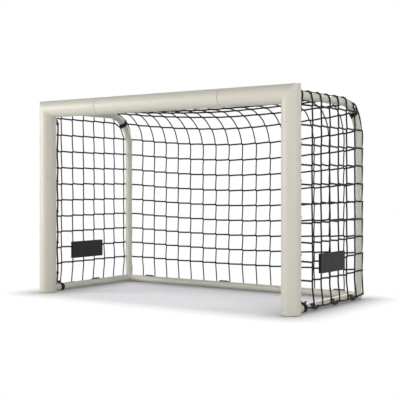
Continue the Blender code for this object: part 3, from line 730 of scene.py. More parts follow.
@dataclass
class SpringButton:
    """A round button on a leaf spring inside a tube, which locks the tube that slides over it.

    Attributes:
        name: The CAD node and the body.
        centre: The point on the tube's axis under the button.
        along: Direction from the button to the leaf's hinge.
        out: The way that the button looks.
        thick: Whether it sits in the thick front tube.
    """

    name: str
    centre: np.ndarray
    along: np.ndarray
    out: np.ndarray
    thick: bool = False
    radius: float = 0.004
    hole_radius: float = 0.0049
    edge: float = 0.0014
    stand: float = 0.0025
    leaf_length: float = 0.032
    leaf_tip: float = 0.0055
    leaf_width: float = 0.008
    leaf_thick: float = 0.0008
    fold_r: float = 0.003

    def __post_init__(self) -> None:
        """Works out where the leaf lies in its tube."""
        self.bore = SLEEVE_BORE if self.thick else NECK_BORE
        self.tube_r = FRONT_R if self.thick else REAR_R
        self.leaf_top = math.sqrt(self.bore**2 - (self.leaf_width / 2) ** 2) - GAP
        self.leaf_mid = self.leaf_top - self.leaf_thick / 2
        self.across = np.cross(self.out, self.along)

    def hole(self) -> Shape:
        """The bar that cuts the holes in both tubes."""
        ends = [self.centre + self.out * reach for reach in (self.leaf_top - 0.002, self.tube_r + 0.004)]
        return bar(*ends, self.hole_radius, 32)

    def pushed_across(self, outline: np.ndarray, height: float) -> Shape:
        """An outline along the tube and outwards, pushed across the leaf's width from this height."""
        start = self.centre + self.out * height + self.across * self.leaf_width / 2
        return pushed(outline, start, self.along, self.out, self.leaf_width)

    def moving(self) -> Shape:
        """The leaf and the button, whose top is turned with a rounded edge."""
        half = self.leaf_thick / 2
        ends = np.array([-self.leaf_tip, self.leaf_length - GAP])
        leaf = np.array([[ends[0], -half], [ends[1], -half], [ends[1], half], [ends[0], half]])
        top = self.tube_r + self.stand
        edge = arc((self.radius - self.edge, top - self.edge), self.edge, 0, 80, 6)
        head = np.vstack([[self.radius, self.leaf_mid], edge, [0.0012, top + 0.00005]])
        button = turned(self.centre, self.out, head, 24)
        return Shape.joined([self.pushed_across(leaf, self.leaf_mid), button])

    def seat(self) -> Shape:
        """The fixed part of the spring: a folded second leg, or a pad that follows the thick tube's wall."""
        start, wall = self.leaf_length + GAP, self.bore - 0.0005
        if self.thick:
            line = np.array([[start, self.leaf_mid], [start + 0.006, wall], [start + 0.014, wall]])
        else:
            fold = arc((start, self.leaf_mid - self.fold_r), self.fold_r, 90, -60, 10)
            line = np.vstack([fold, [0.002, -wall]])
        return self.pushed_across(strip_outline(line, self.leaf_thick), 0.0)

    def build(self) -> None:
        """Makes the moving piece and its fixed seat."""
        piece(self.name + "_steel", self.moving(), ZINC, [self.name], self.name)
        piece(self.name + "_seat", self.seat(), ZINC)


def all_buttons() -> dict:
    """Every spring button by its node's name."""
    turn = math.radians(16.0)
    forward = X * math.sin(turn) - Y * math.cos(turn)
    made = []
    for side in Side:
        word, out = side.word, side.out
        rear_bar = place(side.value * 0.462, REAR_DEPTH, GROUND_Z)
        made += [
            SpringButton(f"crossbar_button_{word}", place(side.value * 0.290, 0, BAR_Z), out, Y, True),
            SpringButton(f"post_button_{word}", side.post(0, 0.630), -Z, Y, True),
            SpringButton(f"arm_button_{word}", side.post(0.093, BAR_Z), -Y, -X),
            SpringButton(f"upright_button_{word}", side.post(REAR_DEPTH, 0.622), -Z, forward),
            SpringButton(f"side_front_button_{word}", side.post(0.118, GROUND_Z), -Y, -X),
            SpringButton(f"side_rear_button_{word}", side.post(0.437, GROUND_Z), Y, -X),
            SpringButton(f"rear_bar_button_{word}", rear_bar, out, Y),
        ]
    made.append(SpringButton("rear_bar_button_middle", place(-0.1305, REAR_DEPTH, GROUND_Z), X, Y))
    return {button.name: button for button in made}


def foot_disc(base: np.ndarray, radius: float, core: float, sides: int, rim: float = 0.0005) -> Shape:
    """The flat foot of an end cap, 1.2 mm thick, with a rounded rim."""
    edge = arc((radius - rim, rim), rim, -90, 90, 7) + [0.0, 0.0001]
    return turned(base, Z, np.vstack([[core, 0.0], edge, [core, 0.0012]]), sides)


@dataclass
class Frame:
    """What the front and the rear frame share: the spring buttons and the holes that they stand in."""

    buttons: dict

    def holes(self, word: str, *kinds: str) -> list:
        """The bars that cut the holes of these kinds of button on a side, or in the middle."""
        return [self.buttons[f"{kind}_button_{word}"].hole() for kind in kinds]


@dataclass
class FrontFrame(Frame):
    """The thick front tube: two mitred corners, the crossbar's middle, two posts and four sleeves."""

    crossbar_seam: float = 0.325
    post_seam: float = 0.595
    crossbar_gap: float = 0.0018
    rims: tuple = (0.0005, 0.0008)
    sides: int = 96
    arm_spigot: float = 0.080
    bar_spigot: float = 0.105
    sleeve_half: float = 0.060

    def corner_route(self, side: Side) -> np.ndarray:
        """The corner's axis, from the post's seam to the crossbar's."""
        end = place(side.value * (self.crossbar_seam + self.crossbar_gap / 2), 0, BAR_Z)
        return np.array([side.post(0, self.post_seam + GAP / 2), side.post(0, BAR_Z), end])

    def length(self, name: str, start: np.ndarray, end: np.ndarray, rim: float) -> bpy.types.Object:
        """A straight length of the thick tube."""
        tube = plain_pipe(start, end, FRONT_R, FRONT_BORE, Y, self.sides, rim)
        return piece(f"{name}_tube", tube, COAT, [name])

    def add_spigot(self, tube: bpy.types.Object, side: Side, z: float, reach: float) -> None:
        """Welds on the short thin tube behind a post, which the rear tube slides over."""
        ends = (side.post(0.0346, z), side.post(FRONT_R + reach, z))
        carve(tube, [plain_pipe(*ends, NECK_R, NECK_BORE, X, 48)], "UNION")

    def sleeve(self, name: str, middle: np.ndarray, along: np.ndarray, holes: Sequence[Shape]) -> None:
        """An inner sleeve across a seam."""
        reach = along * self.sleeve_half
        shape = plain_pipe(middle - reach, middle + reach, SLEEVE_R, SLEEVE_BORE, Y, 64, 0.0004)
        carve(piece(f"{name}_tube", shape, ZINC, [name]), holes)

    def foot_cap(self, side: Side) -> None:
        """The plastic cap in a post's lower end: a flat foot and a ring of lips with two slots."""
        lips = plain_pipe(side.post(0, 0.0008), side.post(0, 0.014), SLEEVE_R, 0.0337, Y, 64, 0.0005)
        cap = piece(f"foot_cap_{side.word}_moulding", lips, PLASTIC, [f"foot_cap_{side.word}"])
        carve(cap, [pushed(FLAT_BOX * [0.018, 0.08], side.post(0, 0.0004), X, Y, 0.03)])
        carve(cap, [foot_disc(side.post(0, 0), FRONT_R, 0.004, 96)], "UNION")

    def build(self) -> None:
        """Makes the front frame's pieces."""
        half = self.crossbar_seam - self.crossbar_gap / 2
        middle = self.length("crossbar_middle", place(-half, 0, BAR_Z), place(half, 0, BAR_Z), self.rims[1])
        carve(middle, [hole for side in Side for hole in self.holes(side.word, "crossbar")])
        for side in Side:
            word = side.word
            bent = pipe(self.corner_route(side), FRONT_R, FRONT_BORE, Y * side.value, self.sides, self.rims)
            corner = piece(f"corner_{word}_tube", bent, COAT, [f"corner_{word}"])
            self.add_spigot(corner, side, BAR_Z, self.arm_spigot)
            carve(corner, self.holes(word, "post", "arm"))
            ends = (side.post(0, FOOT), side.post(0, self.post_seam - GAP / 2))
            post = self.length(f"post_{word}", *ends, self.rims[0])
            self.add_spigot(post, side, GROUND_Z, self.bar_spigot)
            carve(post, self.holes(word, "side_front"))
            seam = place(side.value * self.crossbar_seam, 0, BAR_Z)
            self.sleeve(f"crossbar_sleeve_{word}", seam, X, self.holes(word, "crossbar"))
            self.sleeve(f"post_sleeve_{word}", side.post(0, self.post_seam), Z, self.holes(word, "post"))
            self.foot_cap(side)
        log.info("front frame done")


@dataclass
class RearFrame(Frame):
    """The thin tubes: bent arms, three-way corners, side bars and the two lengths of the rear bar."""

    upright_seam: float = 0.592
    side_seam: float = 0.492
    rear_seam: float = 0.517
    middle_seam: float = -0.0755
    neck: float = 0.080
    taper: float = 0.0010
    chamfer: float = 0.0006
    overcut: float = 0.01

    def arm(self, side: Side, front: FrontFrame) -> None:
        """A bent arm, coped to the front corner and pierced for its two buttons."""
        bend = arc((BEND_DEPTH, BEND_Z), BEND_R, 90, 0, 33)
        line = np.vstack([[0.020, BAR_Z], bend, [REAR_DEPTH, self.upright_seam + GAP]])
        route = places(together(side.value * POST_X, line[:, 0], line[:, 1]))
        obj = piece(f"arm_{side.word}_tube", pipe(route, REAR_R, REAR_BORE, X), COAT, [f"arm_{side.word}"])
        corner = front.corner_route(side)
        cope = solid(corner, [FRONT_R + GAP] * len(corner), Y * side.value)
        carve(obj, [cope, *self.holes(side.word, "arm", "upright")])

    def limb(self, start: np.ndarray, along: np.ndarray, seam: float, flat: np.ndarray) -> Shape:
        """A tube's outside from its start to a neck that plugs into the next tube."""
        taper, end, cut = seam - self.taper, seam + self.neck, self.chamfer
        stops = np.array([0.0, taper - cut, taper, seam, end - 0.001, end])
        radii = [REAR_R, REAR_R, REAR_R - cut, NECK_R, NECK_R, NECK_R - cut]
        return solid(start + stops[:, None] * along, radii, flat)

    def limb_bore(self, start: np.ndarray, along: np.ndarray, seam: float, flat: np.ndarray) -> Shape:
        """The bar that cuts a limb's bore."""
        stops = np.array([0.0, seam - 2 * self.taper, seam, seam + 2 * self.neck])
        return solid(start + stops[:, None] * along, [REAR_BORE, REAR_BORE, NECK_BORE, NECK_BORE], flat)

    @staticmethod
    def weld(hub: np.ndarray, away: np.ndarray, third: np.ndarray) -> Shape:
        """The weld bead where a level tube meets the upright of the same size.

        The meeting line is hub + r * (cos(a) * third + sin(a) * Z + |sin(a)| * away), and the bead swells and
        shrinks along it as its ripples do.
        """
        angle = np.linspace(0, 2 * np.pi, 161)[:, None]
        bow = np.cos(angle) * third + np.sin(angle) * Z + np.abs(np.sin(angle)) * away
        line = hub + (REAR_R + 0.0004) * bow
        radius = 0.0013 + 0.00018 * np.sin(2 * np.pi * run_length(line) / 0.0021)
        return carried(line, radius, unit(line - hub), 8)

    def corner(self, side: Side) -> None:
        """A welded three-way corner: the lower upright, a stub forwards and a stub along the rear bar."""
        foot, hub = side.post(REAR_DEPTH, FOOT), side.post(REAR_DEPTH, GROUND_Z)
        upright = self.upright_seam - FOOT
        stubs = [(hub, -Y, REAR_DEPTH - self.side_seam, X), (hub, -side.out, POST_X - self.rear_seam, Y)]
        name = f"rear_corner_{side.word}"
        obj = piece(f"{name}_tube", self.limb(foot, Z, upright, X), COAT, [name])
        carve(obj, [self.limb(*stub) for stub in stubs], "UNION")
        bores = [self.limb_bore(foot - Z * self.overcut, Z, upright + self.overcut, X)]
        bores += [self.limb_bore(*stub) for stub in stubs]
        carve(obj, bores + self.holes(side.word, "upright", "side_rear", "rear_bar"))
        piece(f"{name}_welds", Shape.joined([self.weld(hub, -Y, X), self.weld(hub, -side.out, Y)]), COAT)

    def side_bar(self, side: Side) -> None:
        """A straight ground bar, coped to the post."""
        ends = (side.post(0.020, GROUND_Z), side.post(self.side_seam - GAP, GROUND_Z))
        name = f"side_bar_{side.word}"
        obj = piece(f"{name}_tube", plain_pipe(*ends, REAR_R, REAR_BORE, X), COAT, [name])
        cope = bar(side.post(0, -0.05), side.post(0, 0.10), FRONT_R + GAP)
        carve(obj, [cope, *self.holes(side.word, "side_front", "side_rear")])

    def rear_bars(self) -> None:
        """The rear bar's two lengths, the right one with a neck into the left one."""
        seam = self.rear_seam - GAP
        ends = (place(-seam, REAR_DEPTH, GROUND_Z), place(self.middle_seam - GAP, REAR_DEPTH, GROUND_Z))
        left = piece("rear_bar_left_tube", plain_pipe(*ends, REAR_R, REAR_BORE, Y), COAT, ["rear_bar_left"])
        carve(left, [self.holes(word, "rear_bar")[0] for word in ("left", "middle")])
        start, length = place(seam, REAR_DEPTH, GROUND_Z), seam - self.middle_seam
        right = piece("rear_bar_right_tube", self.limb(start, -X, length, Y), COAT, ["rear_bar_right"])
        bore = self.limb_bore(start + X * self.overcut, -X, length + self.overcut, Y)
        carve(right, [bore] + [self.holes(word, "rear_bar")[0] for word in ("right", "middle")])

    def foot_cap(self, side: Side) -> None:
        """The small plastic cap in an upright's lower end."""
        name = f"rear_foot_cap_{side.word}"
        ends = (side.post(REAR_DEPTH, 0.0008), side.post(REAR_DEPTH, 0.011))
        lips = plain_pipe(*ends, REAR_BORE - GAP, REAR_BORE - 0.0021, Y, 48, 0.0004)
        disc = foot_disc(side.post(REAR_DEPTH, 0), REAR_R, 0.002, 64)
        cap = piece(f"{name}_moulding", disc, PLASTIC, [name])
        carve(cap, [lips], "UNION")

    def build(self, front: FrontFrame) -> None:
        """Makes the rear frame's pieces."""
        for side in Side:
            self.arm(side, front)
            self.corner(side)
            self.side_bar(side)
            self.foot_cap(side)
        self.rear_bars()
        log.info("rear frame done")


@dataclass
class Net:
    """The black net: cords tied in knots, over the arms and uprights, on an edge rope and a ground cord.

    The net is one belt of level rows round the two sides and the back, and one top. Upright cords cross the
    belt: those of the back go on over the bend to the crossbar, and those of the sides go over the arms and
    become the top's rows. At a knot each cord leaves a little to one side of where it came in.

    Attributes:
        row_r: Radius of the cords that run level.
        column_r: Radius of the left side's upright cords and, with right_r for the last one, the back's.
        right_r: Radius of the right side's upright cords.
        ground_r: Radius of the ground cord.
        lift: Distance from a thin tube's axis to a cord that lies over it.
        side_x: X of the side nets.
        columns_x: X of the back's first upright cord, left to right.
        taut_x: |X| from which the back's rows no longer hang.
        row_bow: How far the belt's middle rows hang lower than even steps would put them.
        ground_zs: Height of the ground cord on the left and the right.
        ground_offsets: How far outside the side bar's axis it lies there.
        lean: How much further back the top's rows end on the right than on the left, each way.
        rope_xs: |X| of the edge rope behind the left and the right post.
        rope_depth: Its depth there.
        rope_over: Its depth over the arms and behind the crossbar.
        turns: Where the right edge cord lies, in degrees round from its tube's outer side: on the upright, at
            the arm's strap and past it.
        clip_depths: Depths of the side bars' clips.
        clip_xs: X of the rear bar's clips.
        clip_hook: How far from a clip's middle its hooks hold the ground cord.
    """

    row_r: float = 0.0036
    column_r: float = 0.0027
    right_r: float = 0.0034
    ground_r: float = 0.0032
    lift: float = 0.0196
    side_x: float = 0.6560
    columns_x: float = -0.6369
    taut_x: float = 0.6435
    back_columns: int = 18
    belt_rows: int = 10
    top_rows: int = 6
    top_row_z: float = 0.8015
    belt_pitch: float = 0.0750
    row_bow: float = 0.0062
    ground_zs: tuple = (0.0256, 0.0195)
    ground_offsets: tuple = (0.0225, 0.0238)
    sag: float = 0.066
    sag_power: float = 1.75
    lean: float = 0.015
    rope_xs: tuple = (0.6430, 0.6390)
    rope_depth: float = 0.0665
    rope_over: float = 0.0510
    turns: tuple = (48.0, 54.0, 112.0)
    step: float = 0.0060
    knot_reach: float = 0.0036
    knot_shift: float = 0.0013
    bow_spread: float = 0.0005
    clip_depths: tuple = (0.158, 0.327, 0.494)
    clip_xs: tuple = (-0.505, -0.054, 0.547)
    clip_hook: float = 0.026
    chance: np.random.Generator = field(default_factory=lambda: np.random.default_rng(20))

    def row_heights(self) -> np.ndarray:
        """Heights of the belt's rows at the uprights, bottom to top: even steps that bow down a little."""
        k = np.arange(self.belt_rows)[::-1]
        return self.top_row_z - self.belt_pitch * k - self.row_bow * np.sin(np.pi * k / (self.belt_rows - 1))

    def column_depths(self, side: Side) -> np.ndarray:
        """Depths of a side's upright cords, front to back."""
        if side is Side.LEFT:
            return 0.1042 + 0.0757 * np.arange(7)
        k = np.arange(6)
        return 0.1387 + 0.07464 * k - 0.003 * np.sin(np.pi * k / 5)

    def arm_depth(self, z: np.ndarray, lift: float) -> np.ndarray:
        """Depth of a cord this far outside the upright's or arm's axis, at a height."""
        return BEND_DEPTH + np.sqrt((BEND_R + lift) ** 2 - np.maximum(z - BEND_Z, 0.0) ** 2)

    def arm_height(self, depth: np.ndarray, lift: float) -> np.ndarray:
        """Height of a cord this far outside the arm's axis, at a depth."""
        return BEND_Z + np.sqrt((BEND_R + lift) ** 2 - np.maximum(depth - BEND_DEPTH, 0.0) ** 2)

    def back_grid(self) -> np.ndarray:
        """The back's and top's knots.

        A row hangs by its slack, 1 - |x / taut x| ** power. A belt row hangs to z * (1 - sag * slack), less
        above 300 mm, and 5 mm forwards. A top row hangs by 7.5 mm + 0.0715 * (depth - 50 mm) in the middle, and
        on the bend it is also drawn forwards. The last column lies on the outer side of the right upright and
        arm up to the strap, and past it on the arm's inner side. The left strap pulls the first column over, and
        the last but one stands 5.5 mm closer to the middle than its even step.

        Returns:
            (belt rows + top rows, columns, 3), bottom to top and on to the crossbar.
        """
        x = self.columns_x + MESH_PITCH * np.arange(self.back_columns)
        slack = 1 - np.minimum(np.abs(x) / self.taut_x, 1.0) ** self.sag_power
        z = self.row_heights()[:, None]
        hang = self.sag * z - 0.012 * np.maximum(z - 0.3, 0)
        belt = together(x, self.arm_depth(z, self.lift) - 0.005 * slack, z - hang * slack)
        depth = 0.498 - 0.0752 * np.arange(self.top_rows)[:, None] + self.lean * x / 0.657
        drop = 0.0075 + 0.0715 * (depth - 0.05)
        drawn = 0.017 * np.clip((depth - 0.42) / 0.078, 0, 1) * slack
        top = together(x, depth - drawn, self.arm_height(depth, self.lift) - drop * slack)
        grid = np.concatenate([belt, top])
        grid[:, 0, 0] += 0.008 * np.exp(-((grid[:, 0, 2] - 0.815) / 0.03) ** 2) * (grid[:, 0, 1] > 0.4)
        grid[:, -2, 0] -= 0.0055
        rows = self.belt_rows
        turn = np.radians(np.repeat(self.turns, [rows, 1, self.top_rows - 1]))
        up = self.lift * np.sin(turn)
        grid[:, -1, 0] = POST_X + self.lift * np.cos(turn)
        grid[:rows, -1, 1] = self.arm_depth(z[:, 0], up[:rows])
        grid[rows:, -1, 1] -= 0.008
        grid[rows:, -1, 2] = self.arm_height(grid[rows:, -1, 1], up[rows:])
        return grid

    def side_grid(self, side: Side) -> np.ndarray:
        """A side's knots: a plane beside the tubes that is drawn in a little towards the rope.

        Returns:
            (belt rows, columns, 3), bottom to top and front to back.
        """
        spread = np.broadcast_arrays(self.column_depths(side)[None, :], self.row_heights()[:, None])
        depth, z = (part.copy() for part in spread)
        height = np.clip((z - 0.1) / 0.76, 0, 1)
        free = np.clip(1 - (depth - self.rope_depth) / 0.5, 0, 1) * np.sin(np.pi * height) ** 2
        low = np.clip((0.2 - z) / 0.08, 0, 1)
        if side is Side.LEFT:
            depth[-1, -1], z[-1, -1] = 0.5360, 0.7795
        else:
            depth[-1] -= 0.004
            z -= 0.0055 * np.clip((0.36 - z) / 0.1, 0, 1) * np.clip((0.56 - depth) / 0.1, 0, 1)
        return together(side.value * (self.side_x - 0.004 * free - 0.0025 * low), depth, z)

    def ground_drop(self, s: np.ndarray, first: float, clips: Sequence[float], last: float) -> np.ndarray:
        """The ground cord's drop between its supports: 4 * t * (1 - t) * 4.5 mm, more on a longer stretch.

        Args:
            s: Places along the bar.
            first: Where the cord starts to hang.
            clips: The middles of the clips.
            last: Where it ends.

        Returns:
            The drop at each place.
        """
        hooks = [clip + way for clip in clips for way in (-self.clip_hook, self.clip_hook)]
        stops = np.array([first, *hooks, last])
        k = np.clip(np.searchsorted(stops, s) - 1, 0, len(stops) - 2)
        span = stops[k + 1] - stops[k]
        t = np.clip((s - stops[k]) / span, 0, 1)
        return 4 * t * (1 - t) * 0.0045 * np.minimum(span / 0.15, 1.3)

    def ground_side(self, side: Side) -> np.ndarray:
        """The ground cord beside a side bar, front to back, and round the rear corner."""
        offset, height, back = side.pick(self.ground_offsets), side.pick(self.ground_zs), self.ground_zs[0]
        start = [[side.pick(self.rope_xs), self.rope_depth, 0.046], [POST_X + 0.0195, 0.0745, 0.034],
                 [POST_X + 0.0210, 0.088, height + 0.0040]]
        depth = np.linspace(0.104, REAR_DEPTH - 0.006, 45)
        lift = (back - height) * np.clip((depth - 0.50) / 0.05, 0, 1)
        z = height + lift - self.ground_drop(depth, 0.095, self.clip_depths, 0.600)
        bend = np.radians(np.linspace(20, 80, 4))
        corner = together(POST_X + offset * np.cos(bend), REAR_DEPTH + offset * np.sin(bend), back)
        return np.vstack([start, together(POST_X + offset, depth, z), corner]) * [side.value, 1, 1]

    def ground_back(self) -> np.ndarray:
        """The ground cord behind the rear bar, left to right."""
        x = np.linspace(-POST_X, POST_X, 110)
        drop = self.ground_drop(x, -POST_X, self.clip_xs, POST_X)
        return together(x, REAR_DEPTH + self.ground_offsets[0], self.ground_zs[0] - drop)

    @staticmethod
    def frames(grid: np.ndarray) -> tuple:
        """Unit directions along a grid's rows and up its columns."""
        return unit(np.gradient(grid, axis=1)), unit(np.gradient(grid, axis=0))

    def shifts(self, count: int) -> np.ndarray:
        """How far a cord leaves aside at each knot."""
        return self.knot_shift * self.chance.uniform(0.6, 1.5, (count, 1))

    def through(self, knots: np.ndarray, ahead: np.ndarray, aside: np.ndarray, turn: float, shift: np.ndarray,
                rounding: float = 0.0) -> np.ndarray:
        """A cord's control points through its knots.

        It comes in at knot - reach * ahead - turn * shift * aside and leaves at knot + reach * ahead + turn *
        shift * aside, and runs almost straight to the next knot. Rounding bends it outwards on the way by this
        share of what a smooth curve would: an eighth of the mean second difference of the knots at both ends.

        Args:
            knots: (n, 3) knot centres in order.
            ahead: (n, 3) the cord's directions.
            aside: (n, 3) the crossing cord's directions.
            turn: 1 or -1, to which side the cord leaves.
            shift: (n, 1) how far.
            rounding: 0 for straight runs, 1 for a smooth curve.

        Returns:
            (5n - 3, 3) points.
        """
        come = knots - self.knot_reach * ahead - turn * shift * aside
        leave = knots + self.knot_reach * ahead + turn * shift * aside
        bow = self.chance.normal(0, self.bow_spread, (len(knots) - 1, 3))
        second = np.vstack([np.zeros((1, 3)), np.diff(knots, n=2, axis=0), np.zeros((1, 3))])
        bow = bow - rounding * (second[:-1] + second[1:]) / 16
        share = np.array([0.0, 0.14, 0.5, 0.86])[None, :, None]
        legs = leave[:-1, None] * (1 - share) + come[1:, None] * share
        legs = legs + 4 * share * (1 - share) * bow[:, None]
        controls = np.concatenate([come[:-1, None], legs], axis=1).reshape(-1, 3)
        return np.vstack([controls, come[-1], leave[-1]])

    def cord(self, controls: np.ndarray, up: np.ndarray, radius: float) -> Shape:
        """A net cord along a smooth curve through its control points."""
        return carried(smooth_through(places(controls), self.step), radius, up, 8)

    @staticmethod
    def knot_form() -> Shape:
        """One knot, 9 mm long: two short bends of cord round the crossing, one on each face.

        A bend's middle line is (4.6 * cos(t), -face * 2.6 * cos(t), face * 2.6 * sin(t)) mm, and t runs over
        half a turn but for 0.12 at each end.
        """
        t = np.linspace(0.12, np.pi - 0.12, 5)
        bends = []
        for face in (1, -1):
            line = together(0.0046 * np.cos(t), -face * 0.0026 * np.cos(t), face * 0.0026 * np.sin(t))
            bends.append(carried(line, 0.0022, np.array([0.5, 0.9 * face, 0.0]), 6))
        return Shape.joined(bends)

    def knots(self, grid: np.ndarray, turn: float) -> Shape:
        """A knot at each point of a grid.

        Args:
            grid: (rows, columns, 3) in x, depth and z.
            turn: 1 or -1, to which side the cords leave.

        Returns:
            All the knots as one shape.
        """
        ahead, upward = self.frames(grid)
        inward = unit(np.cross(ahead, upward))
        axes = [unit(ahead + turn * 0.55 * upward), unit(upward - turn * 0.25 * ahead), inward]
        centres = places(grid.reshape(-1, 3))
        size = self.chance.uniform(0.92, 1.1, (len(centres), 1, 1))
        return self.knot_form().stamped(centres, np.stack(axes, axis=2).reshape(-1, 3, 3), size)

    @staticmethod
    def foot(knot: np.ndarray, out: np.ndarray, ground: np.ndarray) -> np.ndarray:
        """An upright cord's last stretch down to the ground cord, with a soft bend outwards."""
        end, above = ground + 0.0016 * Z, knot * [1, 1, 0]
        return np.vstack([
            end,
            end + 0.010 * Z - 0.0004 * out,
            above + 0.0042 * out + 0.062 * Z,
            above + 0.0004 * out + 0.094 * Z,
        ])

    def over_tube(self, knot: np.ndarray) -> np.ndarray:
        """Two points of a row where it lies over the right upright or arm, just before its last knot."""
        x, lift = np.array([0.6180, 0.6400]), self.lift + 0.0003
        if knot[2] < self.top_row_z + 0.001:
            return together(x, self.arm_depth(knot[2], lift), knot[2])
        depth = knot[1] + 0.001
        return together(x, depth, self.arm_height(depth, lift))

    def rope_place(self, x: float) -> np.ndarray:
        """Where the edge rope runs at this X, level behind the crossbar and a little higher near the arms."""
        z = np.interp(abs(x), [0.56, 0.608, 0.637, 0.651], [0.852, 0.856, 0.8585, 0.8530])
        return np.array([x, self.rope_over, z])

    def back(self) -> None:
        """The back and the top in one piece."""
        grid = self.back_grid()
        ahead, upward = self.frames(grid)
        ground = self.ground_back()
        rows, columns = grid.shape[:2]
        shapes = [self.knots(grid, -1.0)]
        for row in range(rows):
            controls = self.through(grid[row], ahead[row], upward[row], -1.0, self.shifts(columns))
            if row <= self.belt_rows:
                controls = np.vstack([controls[:-4], self.over_tube(grid[row, -1]), controls[-2:]])
            shapes.append(self.cord(controls, upward[row].mean(axis=0), self.row_r))
        for column in range(columns):
            across, along = ahead[:, column], upward[:, column]
            run = self.through(grid[:, column], along, across, -1.0, 1.1 * self.shifts(rows), 1.0)
            x = grid[0, column, 0]
            below = ground[np.argmin(np.abs(ground[:, 0] - x))] * [0, 1, 1] + [x, 0, 0]
            end = self.rope_place(grid[-1, column, 0])
            controls = np.vstack([self.foot(grid[0, column], Y, below), run[1:], end])
            shapes.append(self.cord(controls, X, self.right_r if column == columns - 1 else self.column_r))
        shapes.append(self.cord(ground, Z, self.ground_r))
        nodes = ["net_back", "net_lower_bend", "net_upper_bend", "net_top"]
        piece("net_middle_cords", Shape.joined(shapes), NET_CORD, nodes)

    def over_arm(self, side: Side, knot: np.ndarray) -> np.ndarray:
        """A side cord's way from beside the arm to its knot on top, round the arm's section there."""
        past = np.clip((knot[1] - BEND_DEPTH) / (BEND_R + self.lift), 0, 1)
        turn = math.acos(past)
        knot_turn = math.acos(np.clip((abs(knot[0]) - POST_X) / self.lift, -1, 1))
        angles = 0.78 * knot_turn * np.linspace(0, 1, 4)
        reach = BEND_R + self.lift * np.sin(angles)
        depth = (BEND_DEPTH + reach * math.cos(turn) if past > 0 else knot[1]) - side.pick((0.0, 0.002))
        x = side.value * (POST_X + self.lift * np.cos(angles))
        return np.vstack([together(x, depth, BEND_Z + reach * math.sin(turn)), knot])

    def side(self, side: Side) -> None:
        """One side's rows and upright cords, with the bends round the upright and over the arm."""
        grid, edge = self.side_grid(side), self.back_grid()[:, side.pick((0, -1))]
        ahead, upward = self.frames(grid)
        shapes = [self.knots(grid, 1.0)]
        angles = np.radians(side.pick(([0.0, 30.0, 60.0], [0.0, 25.0])))
        for row, z in enumerate(self.row_heights()):
            shift = self.shifts(grid.shape[1]) * side.pick((1.0, 1.6))
            shift[-1] *= 0.3
            run = self.through(grid[row], ahead[row], upward[row], 1.0, shift)
            start = np.array([side.value * side.pick(self.rope_xs), self.rope_depth, z])
            start = start + np.array([0.0, 0.5, 0.86])[:, None] * (run[0] - start)
            x = side.value * (POST_X + self.lift * np.cos(angles))
            bends = together(x, self.arm_depth(z, self.lift * np.sin(angles)), z)
            shapes.append(self.cord(np.vstack([start, run, bends, edge[row]]), Z, self.row_r))
        ground = self.ground_side(side)
        depths = self.column_depths(side)
        for column, depth in enumerate(depths):
            across, along = ahead[:, column], upward[:, column]
            run = self.through(grid[:, column], along, across, 1.0, 1.1 * self.shifts(len(grid)))
            below = ground[np.argmin(np.abs(ground[:, 1] - depth))] * [1, 0, 1] + [0, depth, 0]
            parts = [self.foot(grid[0, column], side.out, below), run[1:]]
            top = len(depths) - 1 - column - side.pick((1, 0))
            if top >= 0:
                parts.append(self.over_arm(side, edge[self.belt_rows + top]))
            shapes.append(self.cord(np.vstack(parts), Y, side.pick((self.column_r, self.right_r))))
        shapes.append(self.cord(ground, Z, self.ground_r))
        piece(f"net_{side.word}_cords", Shape.joined(shapes), NET_CORD, [f"net_{side.word}"])

    def build(self) -> None:
        """Makes the net's three pieces."""
        self.back()
        for side in Side:
            self.side(side)


